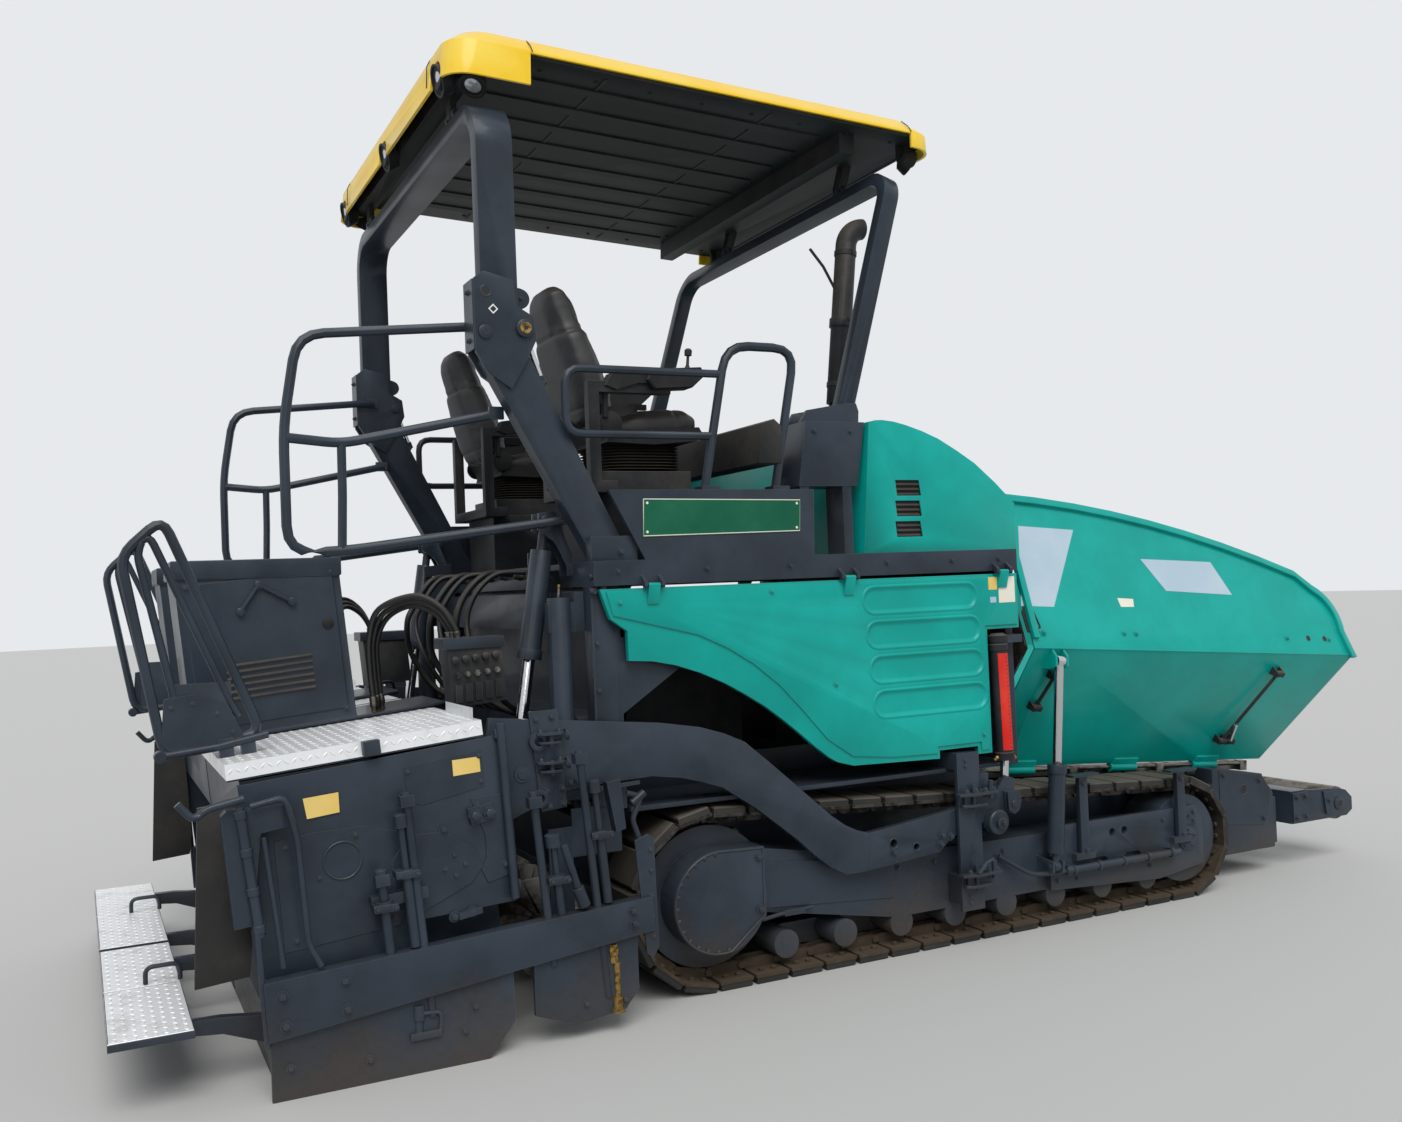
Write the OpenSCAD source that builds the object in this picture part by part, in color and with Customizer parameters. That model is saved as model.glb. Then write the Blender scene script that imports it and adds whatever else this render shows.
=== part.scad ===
// Tracked asphalt paver with an extending screed, folding hopper and folding roof.
// +X is forward (towards the hopper), +Y is the machine's left side, Z is up and z = 0 is the ground.
// Each piece is drawn for the left side with x = 0 near the tow point, and place() moves the whole
// machine so that its origin is under the middle of its outer box.

/* [Body] */
// Half width over the body panels
body_half = 1245; // [1235:5:1260]
// Gap between the central chassis and the inner edge of a track
chassis_gap = 31; // [21:5:51]
// Underside of the deck beams
deck_z = 1710; // [1690:5:1730]
// Height of the deck beams
deck_h = 100; // [80:5:110]
// Rear end of the operator deck
deck_rear = -1700; // [-1720:5:-1690]
// Front face of the engine housing
body_front = 440; // [430:5:450]
// Top of the engine hood at its rear edge
hood_top = 2395; // [2385:5:2400]
// Sheet thickness of the body panels
sheet = 8; // [5:1:12]

/* [Tracks] */
// How far the outer edge of a track lies inside the body panels
track_inset = 49; // [49:2:65]
// Width of the track shoes
track_w = 305; // [285:5:310]
// Position of the drive sprocket along the machine
sprocket_x = -1195; // [-1205:5:-1185]
// Outer radius of the track round the sprocket
sprocket_r = 384; // [370:2:390]
// Position of the front idler along the machine
idler_x = 1505; // [1490:5:1520]
// Outer radius of the track round the idler
idler_r = 307; // [290:2:320]
// Number of track shoes
shoes = 44; // [38:1:48]
// Thickness of a shoe
shoe_t = 30; // [20:2:36]
// Thickness of the chain and plate inside the shoes
belt_t = 52; // [40:2:60]
// Radius of the final drive cover
drive_r = 215; // [190:5:230]

/* [Hopper] */
// Slope of the hopper, nose down
hopper_pitch = 4.3; // [4:0.1:4.6]
// Height of the wing hinges at the rear of the hopper
hinge_z = 716; // [710:2:730]
// How far the wing hinges lie inside the side of the chassis
hinge_inset = 13; // [10:1:18]
// How far the crease of a wing stands outside the body panels
crease_out = 17; // [5:2:21]
// Height of the crease over the hinge
crease_h = 622; // [610:2:640]
// Length of the wing along its crease
wing_len = 2270; // [2200:10:2300]
// Height of the upper wing panel at the rear, over the crease
wing_top = 810; // [760:10:830]
// Inward lean of the upper wing panel, as a slope
wing_lean = 0.4; // [0.34:0.02:0.44]
// Length of the hopper floor and of the wing hinges
hinge_len = 1930; // [1880:10:1940]
// Plate thickness of the wings
wing_t = 10; // [8:1:12]

/* [Push beam] */
// Front face of the push box
box_front = 2350; // [2330:5:2360]
// Half width of the push box
box_half = 1030; // [1000:5:1040]
// Axis of the push rollers along the machine
roller_x = 2860; // [2840:5:2880]
// Height of the push rollers
roller_z = 315; // [300:5:330]
// Radius of the push rollers
roller_r = 92; // [80:2:95]

/* [Screed] */
// Nose-up attitude of the parked screed
screed_pitch = 5; // [4.5:0.1:5.4]
// Rear lower corner of the screed along the machine
screed_x = -3050; // [-3065:5:-3045]
// How far the end of the basic screed lies inside the body panels
screed_inset = 50; // [48:2:60]
// How far a parked end plate stands outside the body panels
gate_out = 55; // [49:2:65]
// Travel of each screed extension
ext_travel = 1225; // [1150:5:1225]
// Height of the screed frames under the walkway
screed_h = 1080; // [1060:5:1082]
// Top of the walkway over the screed plate
walk_v = 1148; // [1142:2:1156]

/* [Tow arms] */
// Tow point along the machine
tow_x = 220; // [215:5:230]
// Height of the tow point
tow_z = 620; // [612:4:628]
// How far the inner face of a tow arm lies inside the body panels
arm_inset = 39; // [37:1:40]
// Thickness of the tow arm
arm_t = 38; // [34:1:40]

/* [Augers] */
// Axis of the augers along the machine
auger_x = -1860; // [-1866:2:-1850]
// Height of the auger axis
auger_z = 330; // [320:5:340]
// Radius of the auger flights
auger_r = 195; // [180:5:200]

/* [Roof] */
// Rear hinges of the roof frame along the machine
fold_x = -1930; // [-1934:1:-1926]
// Height of the rear hinges of the roof frame
fold_z = 2740; // [2736:1:2744]
// Front hinges of the roof frame along the machine
foot_x = -410; // [-414:1:-406]
// Height of the front hinges of the roof frame
foot_z = 2450; // [2446:1:2456]
// Distance from the front edge of the roof back to the hinge of the front arch
arch_back = 215; // [212:1:219]
// Nose-down slope of the roof
roof_pitch = 2.9; // [2.6:0.1:3.1]
// Rear edge of the roof along the machine
roof_x = -2200; // [-2215:5:-2190]
// Length of the roof
roof_len = 2370; // [2340:5:2400]
// Half width of the roof
roof_half = 1135; // [1130:5:1150]

/* [Hidden] */
$fn = 48;
gap = 5;
fit = 0.5;
inf = 4000;
step_rear = -3500;
front_end = roller_x + 110;
x_mid = (step_rear + front_end) / 2;
deck_top = deck_z + deck_h;
track_out = body_half - track_inset;
track_in = track_out - track_w;
chassis_half = track_in - chassis_gap;
wall_in = track_out - 86;
hinge_y = chassis_half - hinge_inset;
crease_y = body_half + crease_out;
screed_half = body_half - screed_inset;
gate_y = body_half + gate_out;
arm_y = body_half - arm_inset;
belt_d = shoe_t + belt_t;
bay_z = 790;
tunnel_z = 690;
pin_r = 22;
beam_in = track_in + 60;
beam_out = track_out - 26;
lift_y = 960;
lift_top = [-1800, 1980];
lift_eye = [1195, 980];
stack_foot = [-280, -850, 2475];
stack_tilt = 6.7;
roof_z = 3728;
roof_hinge = [-2085, 3700];
eye_x = roof_x + roof_len * cos(roof_pitch) - arch_back;
eye_z = roof_z - (eye_x - roof_x) * tan(roof_pitch) + 43;
arch_eye = norm([eye_x - foot_x, eye_z - foot_z]);
arch_top = arch_eye - 60;
front_lean = atan2(eye_x - foot_x, eye_z - foot_z);
wing_foot = [165, crease_y, -405];
wing_eye = [165, crease_y + 10, crease_h - 55];
tube_at = [440, 520];
tube_r = [95, 72, 52];

// Helpers for placing and extruding

module place() translate([-x_mid, 0, 0]) children();

// Draws on the left side, or mirrored to the right
module side(s) mirror([0, s < 0 ? 1 : 0, 0]) children();

module both() for (s = [-1, 1]) side(s) children();

module block(x, y, z) translate([x[0], y[0], z[0]]) cube([x[1] - x[0], y[1] - y[0], z[1] - z[0]]);

// Extrudes an XZ outline across the machine, from y[0] to y[1]
module span(y) translate([0, y[1], 0]) rotate([90, 0, 0]) linear_extrude(y[1] - y[0]) children();

// Extrudes a YZ outline along the machine, from x[0] to x[1]
module along(x) translate([x[0], 0, 0]) rotate([90, 0, 90]) linear_extrude(x[1] - x[0]) children();

module rod_y(x, z, r, y) translate([x, y[1], z]) rotate([90, 0, 0]) cylinder(r = r, h = y[1] - y[0]);

module rod_z(x, y, r, z) translate([x, y, z[0]]) cylinder(r = r, h = z[1] - z[0]);

module rod_x(x, y, z, r) translate([x[0], y, z]) rotate([0, 90, 0]) cylinder(r = r, h = x[1] - x[0]);

// Cylinder of radius r from point a to point b
module between(a, b, r) {
    d = b - a;
    flat = norm([d[0], d[1]]);
    translate(a) rotate([0, atan2(flat, d[2]), atan2(d[1], d[0])]) cylinder(r = r, h = norm(d));
}

function unit(v) = v / norm(v);

// A path with each inner corner replaced by a curve of size r
function soft(p, r, n = 4) = concat([p[0]],
    [for (i = [1:len(p) - 2], k = [0:n])
        let (t = k / n, a = p[i] + unit(p[i - 1] - p[i]) * r, b = p[i] + unit(p[i + 1] - p[i]) * r)
        a * (1 - t) * (1 - t) + p[i] * 2 * t * (1 - t) + b * t * t],
    [p[len(p) - 1]]);

// Round tube of radius r along a path; ref is a direction that the path never follows
module tube(path, r, ref = [0, 1, 0], n = 8) {
    last = len(path) - 1;
    dirs = [for (i = [0:last]) unit(unit(path[i] - path[max(i - 1, 0)] + (i == 0 ? path[1] - path[0] : [0, 0, 0]))
        + unit(path[min(i + 1, last)] - path[i] + (i == last ? path[last] - path[last - 1] : [0, 0, 0])))];
    rings = [for (i = [0:last]) let (u = unit(cross(ref, dirs[i])), v = cross(dirs[i], u))
        for (k = [0:n - 1]) path[i] + r * (cos(k * 360 / n) * u + sin(k * 360 / n) * v)];
    sides = [for (i = [0:last - 1], k = [0:n - 1])
        [i * n + k, (i + 1) * n + k, (i + 1) * n + (k + 1) % n, i * n + (k + 1) % n]];
    polyhedron(rings, concat(sides, [[for (k = [0:n - 1]) k], [for (k = [0:n - 1]) last * n + n - 1 - k]]));
}

// Rail in a plane of constant y, given by [x, z] points
module rail(p, y, r = 20, bend = 90) tube(soft([for (q = p) [q[0], y, q[1]]], bend), r);

// Frame of the parked screed: x = 0 at its rear lower corner, z = 0 at its underside
module at_screed() translate([screed_x, 0, 0]) rotate([0, -screed_pitch, 0]) children();

// Frame of the hopper: x = 0 at its rear wall and z = 0 at the wing hinges
module at_hopper() translate([body_front, 0, hinge_z]) rotate([0, hopper_pitch, 0]) children();

module at_front_arch() translate([foot_x, 0, foot_z]) rotate([0, front_lean, 0]) children();

module at_roof() translate([roof_x, 0, roof_z]) rotate([0, roof_pitch, 0]) children();

// Point of the screed frame in the machine's own XZ plane
function screed_point(p) = [screed_x + p[0] * cos(screed_pitch) - p[1] * sin(screed_pitch),
                            p[0] * sin(screed_pitch) + p[1] * cos(screed_pitch)];

// Cylinder barrel from its foot a towards b: the body begins at start, on a slimmer tang
module barrel(a, b, r, start, length) difference() {
    union() {
        between(a + unit(b - a) * start, a + unit(b - a) * length, r);
        between(a + unit(b - a) * (length - 40), a + unit(b - a) * length, r + 6);
        between(a, a + unit(b - a) * (start + 5), r * 0.45);
    }
    between(a + unit(b - a) * (start + 12), b, r * 0.55 + fit);
}

// Chromed rod that ends in a solid eye at b
module rod(a, b, r, start) between(a + unit(b - a) * start, b, r * 0.55);

// Track outline: a loop round two wheels of different radius, all standing on z = 0

wheel_gap = idler_x - sprocket_x;
top_slope = 2 * atan((sprocket_r - idler_r) / wheel_gap);
front_arc = idler_r * (180 - top_slope) * PI / 180;
rear_arc = sprocket_r * (180 + top_slope) * PI / 180;
loop_len = 2 * wheel_gap + front_arc + rear_arc;

// Point at distance s along the loop, moved inwards by d
function loop_point(s, d) =
    s < wheel_gap ? [sprocket_x + s, d] :
    s < wheel_gap + front_arc ?
        let (a = -90 + (s - wheel_gap) / idler_r * 180 / PI)
        [idler_x + (idler_r - d) * cos(a), idler_r + (idler_r - d) * sin(a)] :
    s < 2 * wheel_gap + front_arc ?
        let (a = 90 - top_slope, q = s - wheel_gap - front_arc)
        [idler_x + (idler_r - d) * cos(a) - q * cos(top_slope),
         idler_r + (idler_r - d) * sin(a) + q * sin(top_slope)] :
        let (a = 90 - top_slope + (s - 2 * wheel_gap - front_arc) / sprocket_r * 180 / PI)
        [sprocket_x + (sprocket_r - d) * cos(a), sprocket_r + (sprocket_r - d) * sin(a)];

module track(s) color("#26282a") side(s) span([track_in, track_out]) difference() {
    // columns: place within one shoe pitch, and 1 where the outline drops to the chain
    polygon([for (i = [0:shoes - 1], c = [[0, 1], [0.06, 0], [0.8, 0], [0.88, 1]])
        loop_point((i + c[0]) * loop_len / shoes, c[1] * shoe_t)]);
    polygon([for (i = [0:95]) loop_point(i * loop_len / 96, belt_d)]);
}

module undercarriage(s) color("#3c444c") side(s) {
    hub = sprocket_r;
    rod_y(sprocket_x, hub, sprocket_r - belt_d - gap, [track_in + 90, track_out - 90]);
    rod_y(sprocket_x, hub, drive_r - 30, [chassis_half, track_in + 90]);
    rod_y(sprocket_x, hub, drive_r, [track_out - 90, body_half]);
    span([track_out - 90, body_half])
        polygon([[sprocket_x, hub + drive_r], [-985, 590], [-985, 300], [sprocket_x + 60, hub - drive_r + 10]]);
    span([beam_in, beam_out])
        polygon([[-985, 300], [-985, 570], [-280, 450], [idler_x - 240, 430], [idler_x - 240, 170], [-280, 170]]);
    span([chassis_half, beam_in]) polygon([[-700, 300], [-700, 420], [900, 400], [900, 220]]);
    rod_y(idler_x, idler_r, idler_r - belt_d - gap, [track_in + 60, beam_out]);
    for (x = [-850:300:1250]) rod_y(x, belt_d + 60, 60, [track_in + 70, beam_out]);
    block([-850, 1250], [track_in + 80, track_in + 110], [belt_d, 180]);
    difference() {
        span([beam_out, track_out + 4])
            polygon([[600, 170], [600, 440], [700, 470], [idler_x + 60, 470], [idler_x + 110, 400],
                     [idler_x + 110, 170], [idler_x - 200, 130]]);
        for (x = [1000, 1080]) rod_y(x, 400, 20, [0, inf]);
        for (x = [880, 1100]) {
            block([x, x + 60], [0, inf], [230, 290]);
            for (e = [0, 60]) rod_y(x + e, 260, 30, [0, inf]);
        }
        rod_y(idler_x, idler_r, 45, [beam_out + 8, inf]);
    }
    // columns: place, width of the flat top and height of a step post
    for (c = [[795, 165, 700], [1440, 180, 660]]) {
        block([c[0] - 25, c[0] + 25], [track_out + 14, track_out + 40], [300, c[2]]);
        block([c[0] - c[1] / 2, c[0] + c[1] / 2], [track_out + 8, track_out + 64], [c[2], c[2] + 12]);
        block([c[0] - 60, c[0] + 60], [beam_out, track_out + 40], [300, 330]);
    }
    rod_x([660, 1400], track_out + 44, 262, 18);
    for (x = [670, 1340]) block([x, x + 30], [beam_out, track_out + 50], [240, 284]);
    // clevis under the foot of the wing cylinder
    at_hopper() {
        for (x = [wing_foot[0] - 36, wing_foot[0] + 24]) along([x, x + 12])
            polygon([[beam_out - 4, wing_foot[2] - 60], [wing_foot[1] + 26, wing_foot[2] - 26],
                     [wing_foot[1] + 26, wing_foot[2] + 26], [beam_out - 4, wing_foot[2] + 40]]);
        rod_x([wing_foot[0] - 40, wing_foot[0] + 40], wing_foot[1], wing_foot[2], 12);
    }
}

// Chassis between the tracks, with the push box at its nose

module chassis() color("#3c444c") {
    both() {
        block([-1600, 1880], [chassis_half - 60, chassis_half], [200, 560]);
        block([-1600, body_front - 40], [chassis_half - 60, chassis_half], [560, bay_z]);
        block([-1560, body_front - 40], [chassis_half - 60, track_out - 6], [bay_z, bay_z + 20]);
        block([box_front, box_front + 26], [box_half - 80, box_half - 6], [150, 400]);
    }
    block([-1600, 1880], [-chassis_half + 60, chassis_half - 60], [200, 220]);
    for (x = [-1600, -500, 1200]) block([x, x + 40], [-chassis_half + 60, chassis_half - 60], [220, 420]);
    span([-box_half, box_half])
        polygon([[1880, 200], [1960, 130], [box_front, 130], [box_front, 430], [box_front - 70, 520], [1880, 520]]);
    both() span([hinge_y + 70, box_half])
        polygon([[1890, 500], [1890, 600], [1925, 600], [box_front - 80, 540], [box_front - 60, 500]]);
    for (z = [190, 430]) block([box_front - 60, box_front + 130], [-70, 70], [z, z + 40]);
    rod_z(box_front + 75, 0, 40, [190, 470]);
}

// Upper body: bulkheads, corner columns, conveyor tunnel, rear cross beams and the auger hangers

module body_frame() color("#3c444c") {
    difference() {
        union() {
            block([body_front - 40, body_front], [-track_out + 6, track_out - 6], [bay_z, deck_z]);
            block([body_front - 40, body_front], [-chassis_half + 60, chassis_half - 60], [220, bay_z]);
            block([-1600, -1575], [-track_out + 6, track_out - 6], [bay_z + 20, deck_z]);
            block([-1600, -1575], [-chassis_half + 60, chassis_half - 60], [420, bay_z + 20]);
        }
        block([-1700, 500], [-640, 640], [tunnel_z, 900]);
    }
    both() {
        block([deck_rear, -1600], [wall_in, track_out - 4], [830, deck_z]);
        block([-1575, body_front - 40], [640, 652], [tunnel_z - 26, 910]);
        span([track_out - 30, track_out - 6])
            polygon([[-1575, 1190], [-1575, 1500], [-1180, 1500], [-1180, 1450]]);
        block([auger_x - 50, auger_x + 50], [wall_in + 55, wall_in + 70], [auger_z - 80, 760]);
        block([auger_x + 50, -1600], [wall_in + 55, wall_in + 70], [640, 830]);
        block([deck_rear, -1600], [wall_in + 55, wall_in + 70], [640, 830]);
        rod_y(auger_x, auger_z, 20, [wall_in, wall_in + 55]);
        rod_y(auger_x, auger_z, 20, [60, 120]);
    }
    block([-1575, body_front - 40], [-652, 652], [900, 910]);
    block([-1575, body_front - 40], [-640, 640], [tunnel_z - 26, tunnel_z]);
    block([-1740, -1600], [-wall_in, wall_in], [1530, 1690]);
    block([-1740, -1600], [-wall_in, wall_in], [920, 1180]);
    block([auger_x - 60, auger_x + 60], [-60, 60], [auger_z - 90, auger_z + 120]);
    block([auger_x - 40, auger_x + 40], [-60, 60], [auger_z + 120, 1000]);
    block([auger_x + 40, -1740], [-60, 60], [920, 1000]);
}

module corner_posts() color("#3c444c") both() {
    rod_z(-1800, wall_in - 20, 48, [880, deck_z - 40]);
    block([-1850, -1740], [wall_in - 50, wall_in], [1530, deck_z - 60]);
    block([-1850, deck_rear], [wall_in - 50, wall_in + 40], [860, 900]);
}

module engine_block() color("#30343a") {
    block([-450, 380], [-450, 450], [910, 1300]);
    block([-380, 300], [-300, 300], [1300, 1650]);
    block([-1300, -700], [-560, 560], [910, 1500]);
    for (x = [-300, -120, 60]) rod_y(x, 1450, 60, [300, 420]);
}

module deck() color("#3c444c") {
    both() {
        block([deck_rear, body_front], [body_half - 75, body_half], [deck_z, deck_top]);
        // raised side boards beside the platform
        span([body_half - 25, body_half])
            polygon([[-1475, deck_top], [-1625, 2095], [-665, 2095], [-675, deck_top]]);
        // brackets that carry the front arch, each on two uprights
        span([1040, body_half - 20]) polygon([[-725, 2110], [-425, 2110], [-376, 2395], [-680, 2395]]);
        for (x = [-720, -500]) block([x, x + 45], [1080, body_half - 25], [deck_top, 2110]);
        for (y = [1040, 1160]) span([y, y + 20])
            polygon([[-680, 2395], [-376, 2395], [foot_x + 38, foot_z], [foot_x + 26, foot_z + 36],
                     [foot_x - 26, foot_z + 36], [-640, 2450]]);
        rod_y(foot_x, foot_z, pin_r, [1050, 1170]);
        // clevis of the lift cylinder
        for (y = [lift_y - 45, lift_y + 33]) span([y, y + 12])
            polygon([[deck_rear, 1760], [deck_rear, deck_top + 30], [-1770, 2030], [-1840, 2020],
                     [-1845, 1950], [-1775, 1900], [-1725, 1800], [-1725, 1760]]);
        rod_y(lift_top[0], lift_top[1], 18, [lift_y - 48, lift_y + 48]);
        // hinge ears of the side panel
        for (x = panel_hinges) for (e = [0, 76]) span_hinge_ear(x + e);
        for (x = panel_hinges) rod_x([x, x + 90], hinge_line[0], hinge_line[1], 5);
    }
    block([deck_rear, -1620], [-body_half + 75, body_half - 75], [deck_z, deck_top]);
    block([-540, -460], [-body_half + 75, body_half - 75], [deck_z, deck_top]);
    block([body_front - 40, body_front], [-body_half + 75, body_half - 75], [deck_z, deck_top]);
    block([-1620, -540], [-body_half + 75, body_half - 75], [deck_top - 30, deck_top]);
}

panel_hinges = [-1500, -560, 290];
hinge_line = [body_half + 28, deck_z - 4];

module span_hinge_ear(x) along([x, x + 14]) {
    translate(hinge_line) circle(r = 12);
    polygon([[body_half, deck_z + 6], [hinge_line[0] - 11, hinge_line[1] - 4], [hinge_line[0] + 11, hinge_line[1] - 2],
             [hinge_line[0] + 11, deck_z + 12], [body_half, deck_z + 40]]);
}

// Engine hood: a sheet shell with a curved brow and three slots in each side

function hood_line(t) = concat([[-415 + t, deck_top - 1 + t], [-365 + t, hood_top - t]],
    // columns: place along the machine, and drop under the hood's highest edge
    [for (c = [[-330, -8], [-295, -10], [-230, -4], [-165, 10], [-75, 36], [15, 70], [115, 122], [215, 180],
               [330, 270]]) [c[0], hood_top - c[1] - t]],
    [[body_front - t, hood_top - 368 - t], [body_front - t, deck_top - 1 + t]]);

module hood() color("#00a693") {
    difference() {
        span([-body_half, body_half]) polygon(hood_line(0));
        span([-body_half + sheet, body_half - sheet]) polygon(hood_line(sheet));
        block([-inf, inf], [-inf, inf], [deck_top - 100, deck_top]);
        both() for (k = [0:2]) span([body_half - 60, body_half + 60])
            polygon([[-235 - k * 4, 2135 - k * 93], [-105, 2135 - k * 93], [-95, 2065 - k * 93],
                     [-228 - k * 4, 2065 - k * 93]]);
    }
    // ears of the exhaust stack
    both_ears() span([0, 12]) polygon([[-330, 2380], [-230, 2380], [-255, 2500], [-305, 2500]]);
    rod_y(stack_foot[0], stack_foot[2], 14, [stack_foot[1] - 50, stack_foot[1] + 50]);
}

module both_ears() for (y = [stack_foot[1] - 48, stack_foot[1] + 36]) translate([0, y, 0]) children();

// Seats on sliding boxes

module seat_bases() color("#2b2e32") for (y = [-750, 750]) {
    block([-1560, -1080], [y - 230, y + 230], [deck_top, 2110]);
    block([-1530, -1110], [y - 200, y + 200], [2110, 2200]);
    for (e = [-275, 275]) {
        block([-1570, -1240], [y + e - 25, y + e + 25], [2520, 2570]);
        block([-1620, -1570], [y + e - 25, y + e + 25], [2150, 2570]);
    }
    block([-1620, -1500], [y - 300, y + 300], [2100, 2150]);
}

module seat_pads() color("#202124") for (y = [-750, 750]) span([y - 230, y + 230])
    polygon([[-1520, 2200], [-1080, 2200], [-1050, 2260], [-1070, 2340], [-1420, 2330],
             [-1470, 2400], [-1500, 2640], [-1540, 2900], [-1600, 3010], [-1680, 3000],
             [-1720, 2900], [-1650, 2500], [-1560, 2300]]);

module console() color("#26282a") {
    span([-body_half - 55, body_half + 55]) polygon([[-960, 2200], [-850, 2200], [-845, 2360], [-880, 2390], [-940, 2370]]);
    block([-940, -870], [-150, 150], [deck_top, 2200]);
}

// Tubular rails round the platform

module guard_rails() color("#3c444c") both() {
    y = body_half - 55;
    rail([[-1080, 2590], [-1775, 2590], [-1775, 2325], [-1120, 2325]], y, 17, 70);
    rail([[-1165, 2110], [-1040, 2715], [-700, 2715], [-825, 2110]], y, 20, 110);
    for (x = [-1165, -825]) block([x - 40, x + 40], [y - 20, body_half], [2095, 2110]);
    rail([[-2050, 2770], [-2780, 2700], [-2840, 2350], [-2840, 1880], [-2650, 1880], [-1720, 1990]], 1043, 19, 100);
    rail([[-2835, 2310], [-2630, 2290], [-2010, 2420]], 1043, 19, 60);
    rail([[-2640, 1890], [-2632, 2100], [-2630, 2290]], 1043, 17, 40);
    for (p = [[-2060, 2770], [-2020, 2420]]) block([p[0] - 30, p[0] + 30], [1043, 1062], [p[1] - 25, p[1] + 25]);
    block([-1750, -1700], [1043, 1080], [1970, 2010]);
}

// Fixed lower struts of the rear roof arch

module roof_struts() color("#3c444c") both() {
    span([1080, 1160])
        polygon([[-1660, deck_top], [-1500, deck_top], [-1935, 2690], [-2095, 2690], [-2095, 2610]]);
    block([deck_rear, -1500], [1160, body_half - 25], [deck_top, deck_top + 100]);
    for (y = [1062, 1160]) span([y, y + 18])
        polygon([[-2080, 2560], [-2130, 2640], [-2130, 2930], [-2090, 2960], [-1970, 2930], [-1960, 2830],
                 [-1890, 2790], [-1880, 2700], [-1925, 2610], [-1990, 2500]]);
    rod_y(fold_x, fold_z, pin_r, [1050, 1190]);
}

// Inverted U of flat-sided tube, open at the bottom, in the YZ plane

module round_square(half, ztop, zbot, r) {
    translate([-half, zbot]) square([2 * half, ztop - zbot - r]);
    translate([-half + r, zbot]) square([2 * (half - r), ztop - zbot]);
    for (e = [-1, 1]) translate([e * (half - r), ztop - r]) circle(r = r);
}

module arch(x, half, leg, ztop, zbot, r) along(x) difference() {
    round_square(half, ztop, zbot, r);
    round_square(half - leg, ztop - leg, zbot - 10, r - leg);
}

module rear_arch() color("#3c444c") {
    difference() {
        union() {
            arch([-2095, -1945], 1154, 68, roof_hinge[1] - 20, 2800, 200);
            both() span([1086, 1154]) polygon([[-2095, 2715], [-2095, 2800], [-1945, 2800], [fold_x + 40, fold_z + 20],
                                               [fold_x + 32, fold_z - 28], [fold_x, fold_z - 40], [-1980, 2715]]);
        }
        both() rod_y(fold_x, fold_z, pin_r + fit, [1000, 1200]);
    }
    both() {
        for (y = [740, 840]) span([y, y + 20])
            polygon([[-2095, 3680], [-2099, 3702], [-2092, 3714], [-2078, 3714], [-2060, 3690], [-2050, 3680]]);
        rod_y(roof_hinge[0], roof_hinge[1], 7, [740, 860]);
    }
}

module front_arch() color("#3c444c") at_front_arch() {
    difference() {
        union() {
            arch([-40, 40], 1130, 60, arch_top, 0, 160);
            both() rod_y(0, 0, 40, [1070, 1130]);
        }
        both() rod_y(0, 0, pin_r + fit, [1000, 1200]);
    }
    both() difference() {
        span([600, 620]) union() {
            translate([-22, arch_top - 10]) square([44, arch_eye - arch_top + 10]);
            translate([0, arch_eye]) circle(r = 22);
        }
        rod_y(0, arch_eye, 10, [500, 700]);
    }
}

module roof_outline(inset, r) {
    translate([inset, -roof_half + inset + r]) square([roof_len - 2 * inset, 2 * (roof_half - inset - r)]);
    translate([inset + r, -roof_half + inset]) square([roof_len - 2 * (inset + r), 2 * (roof_half - inset)]);
    for (u = [inset + r, roof_len - inset - r], e = [-1, 1]) translate([u, e * (roof_half - inset - r)]) circle(r = r);
}

module roof_solid(t, low, high) hull() {
    translate([0, 0, low]) linear_extrude(1) roof_outline(t, 120 - t);
    translate([0, 0, high - 70]) linear_extrude(1) roof_outline(t + 10, 120 - t);
    translate([0, 0, high - 1]) linear_extrude(1) roof_outline(t + 80, 120 - t);
}

module roof_shell() color("#f2c81e") at_roof() difference() {
    roof_solid(0, 32, 245);
    roof_solid(12, 20, 233);
    // shallow rim along the sides and the front, between the deep corners
    block([350, roof_len - 150], [-inf, inf], [-10, 165]);
    block([roof_len - 160, inf], [-inf, inf], [-10, 98]);
    block([roof_len - 60, inf], [-roof_half + 200, roof_half - 200], [-10, 165]);
    // openings for the lamps at the rear
    for (y = [-roof_half + 170, 0, roof_half - 170]) rod_x([-60, 60], y, 45, 75);
}

module roof_lining() color("#17181a") {
    at_roof() {
        translate([0, 0, 151]) linear_extrude(12) roof_outline(22.3, 108);
        for (c = [[70, 150], [roof_len - 470, roof_len - 390]]) block(c, [-roof_half + 130, roof_half - 130], [60, 151]);
        for (y = [-roof_half + 170, 0, roof_half - 170]) rod_x([14, 72], y, 60, 50);
        both() {
            block([roof_len - 110, roof_len - 70], [roof_half - 170, roof_half - 120], [100, 151]);
            rod_x([roof_len - 110, roof_len - 46], roof_half - 145, 100, 40);
        }
    }
    // knuckles on the rear hinge of the roof
    difference() {
        both() {
            rod_y(roof_hinge[0], roof_hinge[1], 13, [768, 832]);
            block([roof_hinge[0] - 13, roof_hinge[0] + 13], [768, 832], [roof_hinge[1], roof_hinge[1] + 90]);
        }
        both() rod_y(roof_hinge[0], roof_hinge[1], 7 + fit, [700, 900]);
    }
    // lugs that straddle the eyes of the front arch
    both() for (y = [580, 628]) at_front_arch() difference() {
        span([y, y + 12]) union() {
            translate([0, arch_eye]) circle(r = 22);
            translate([-22, arch_eye]) square([44, 145]);
        }
        rod_y(0, arch_eye, 10, [500, 700]);
    }
}

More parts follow.
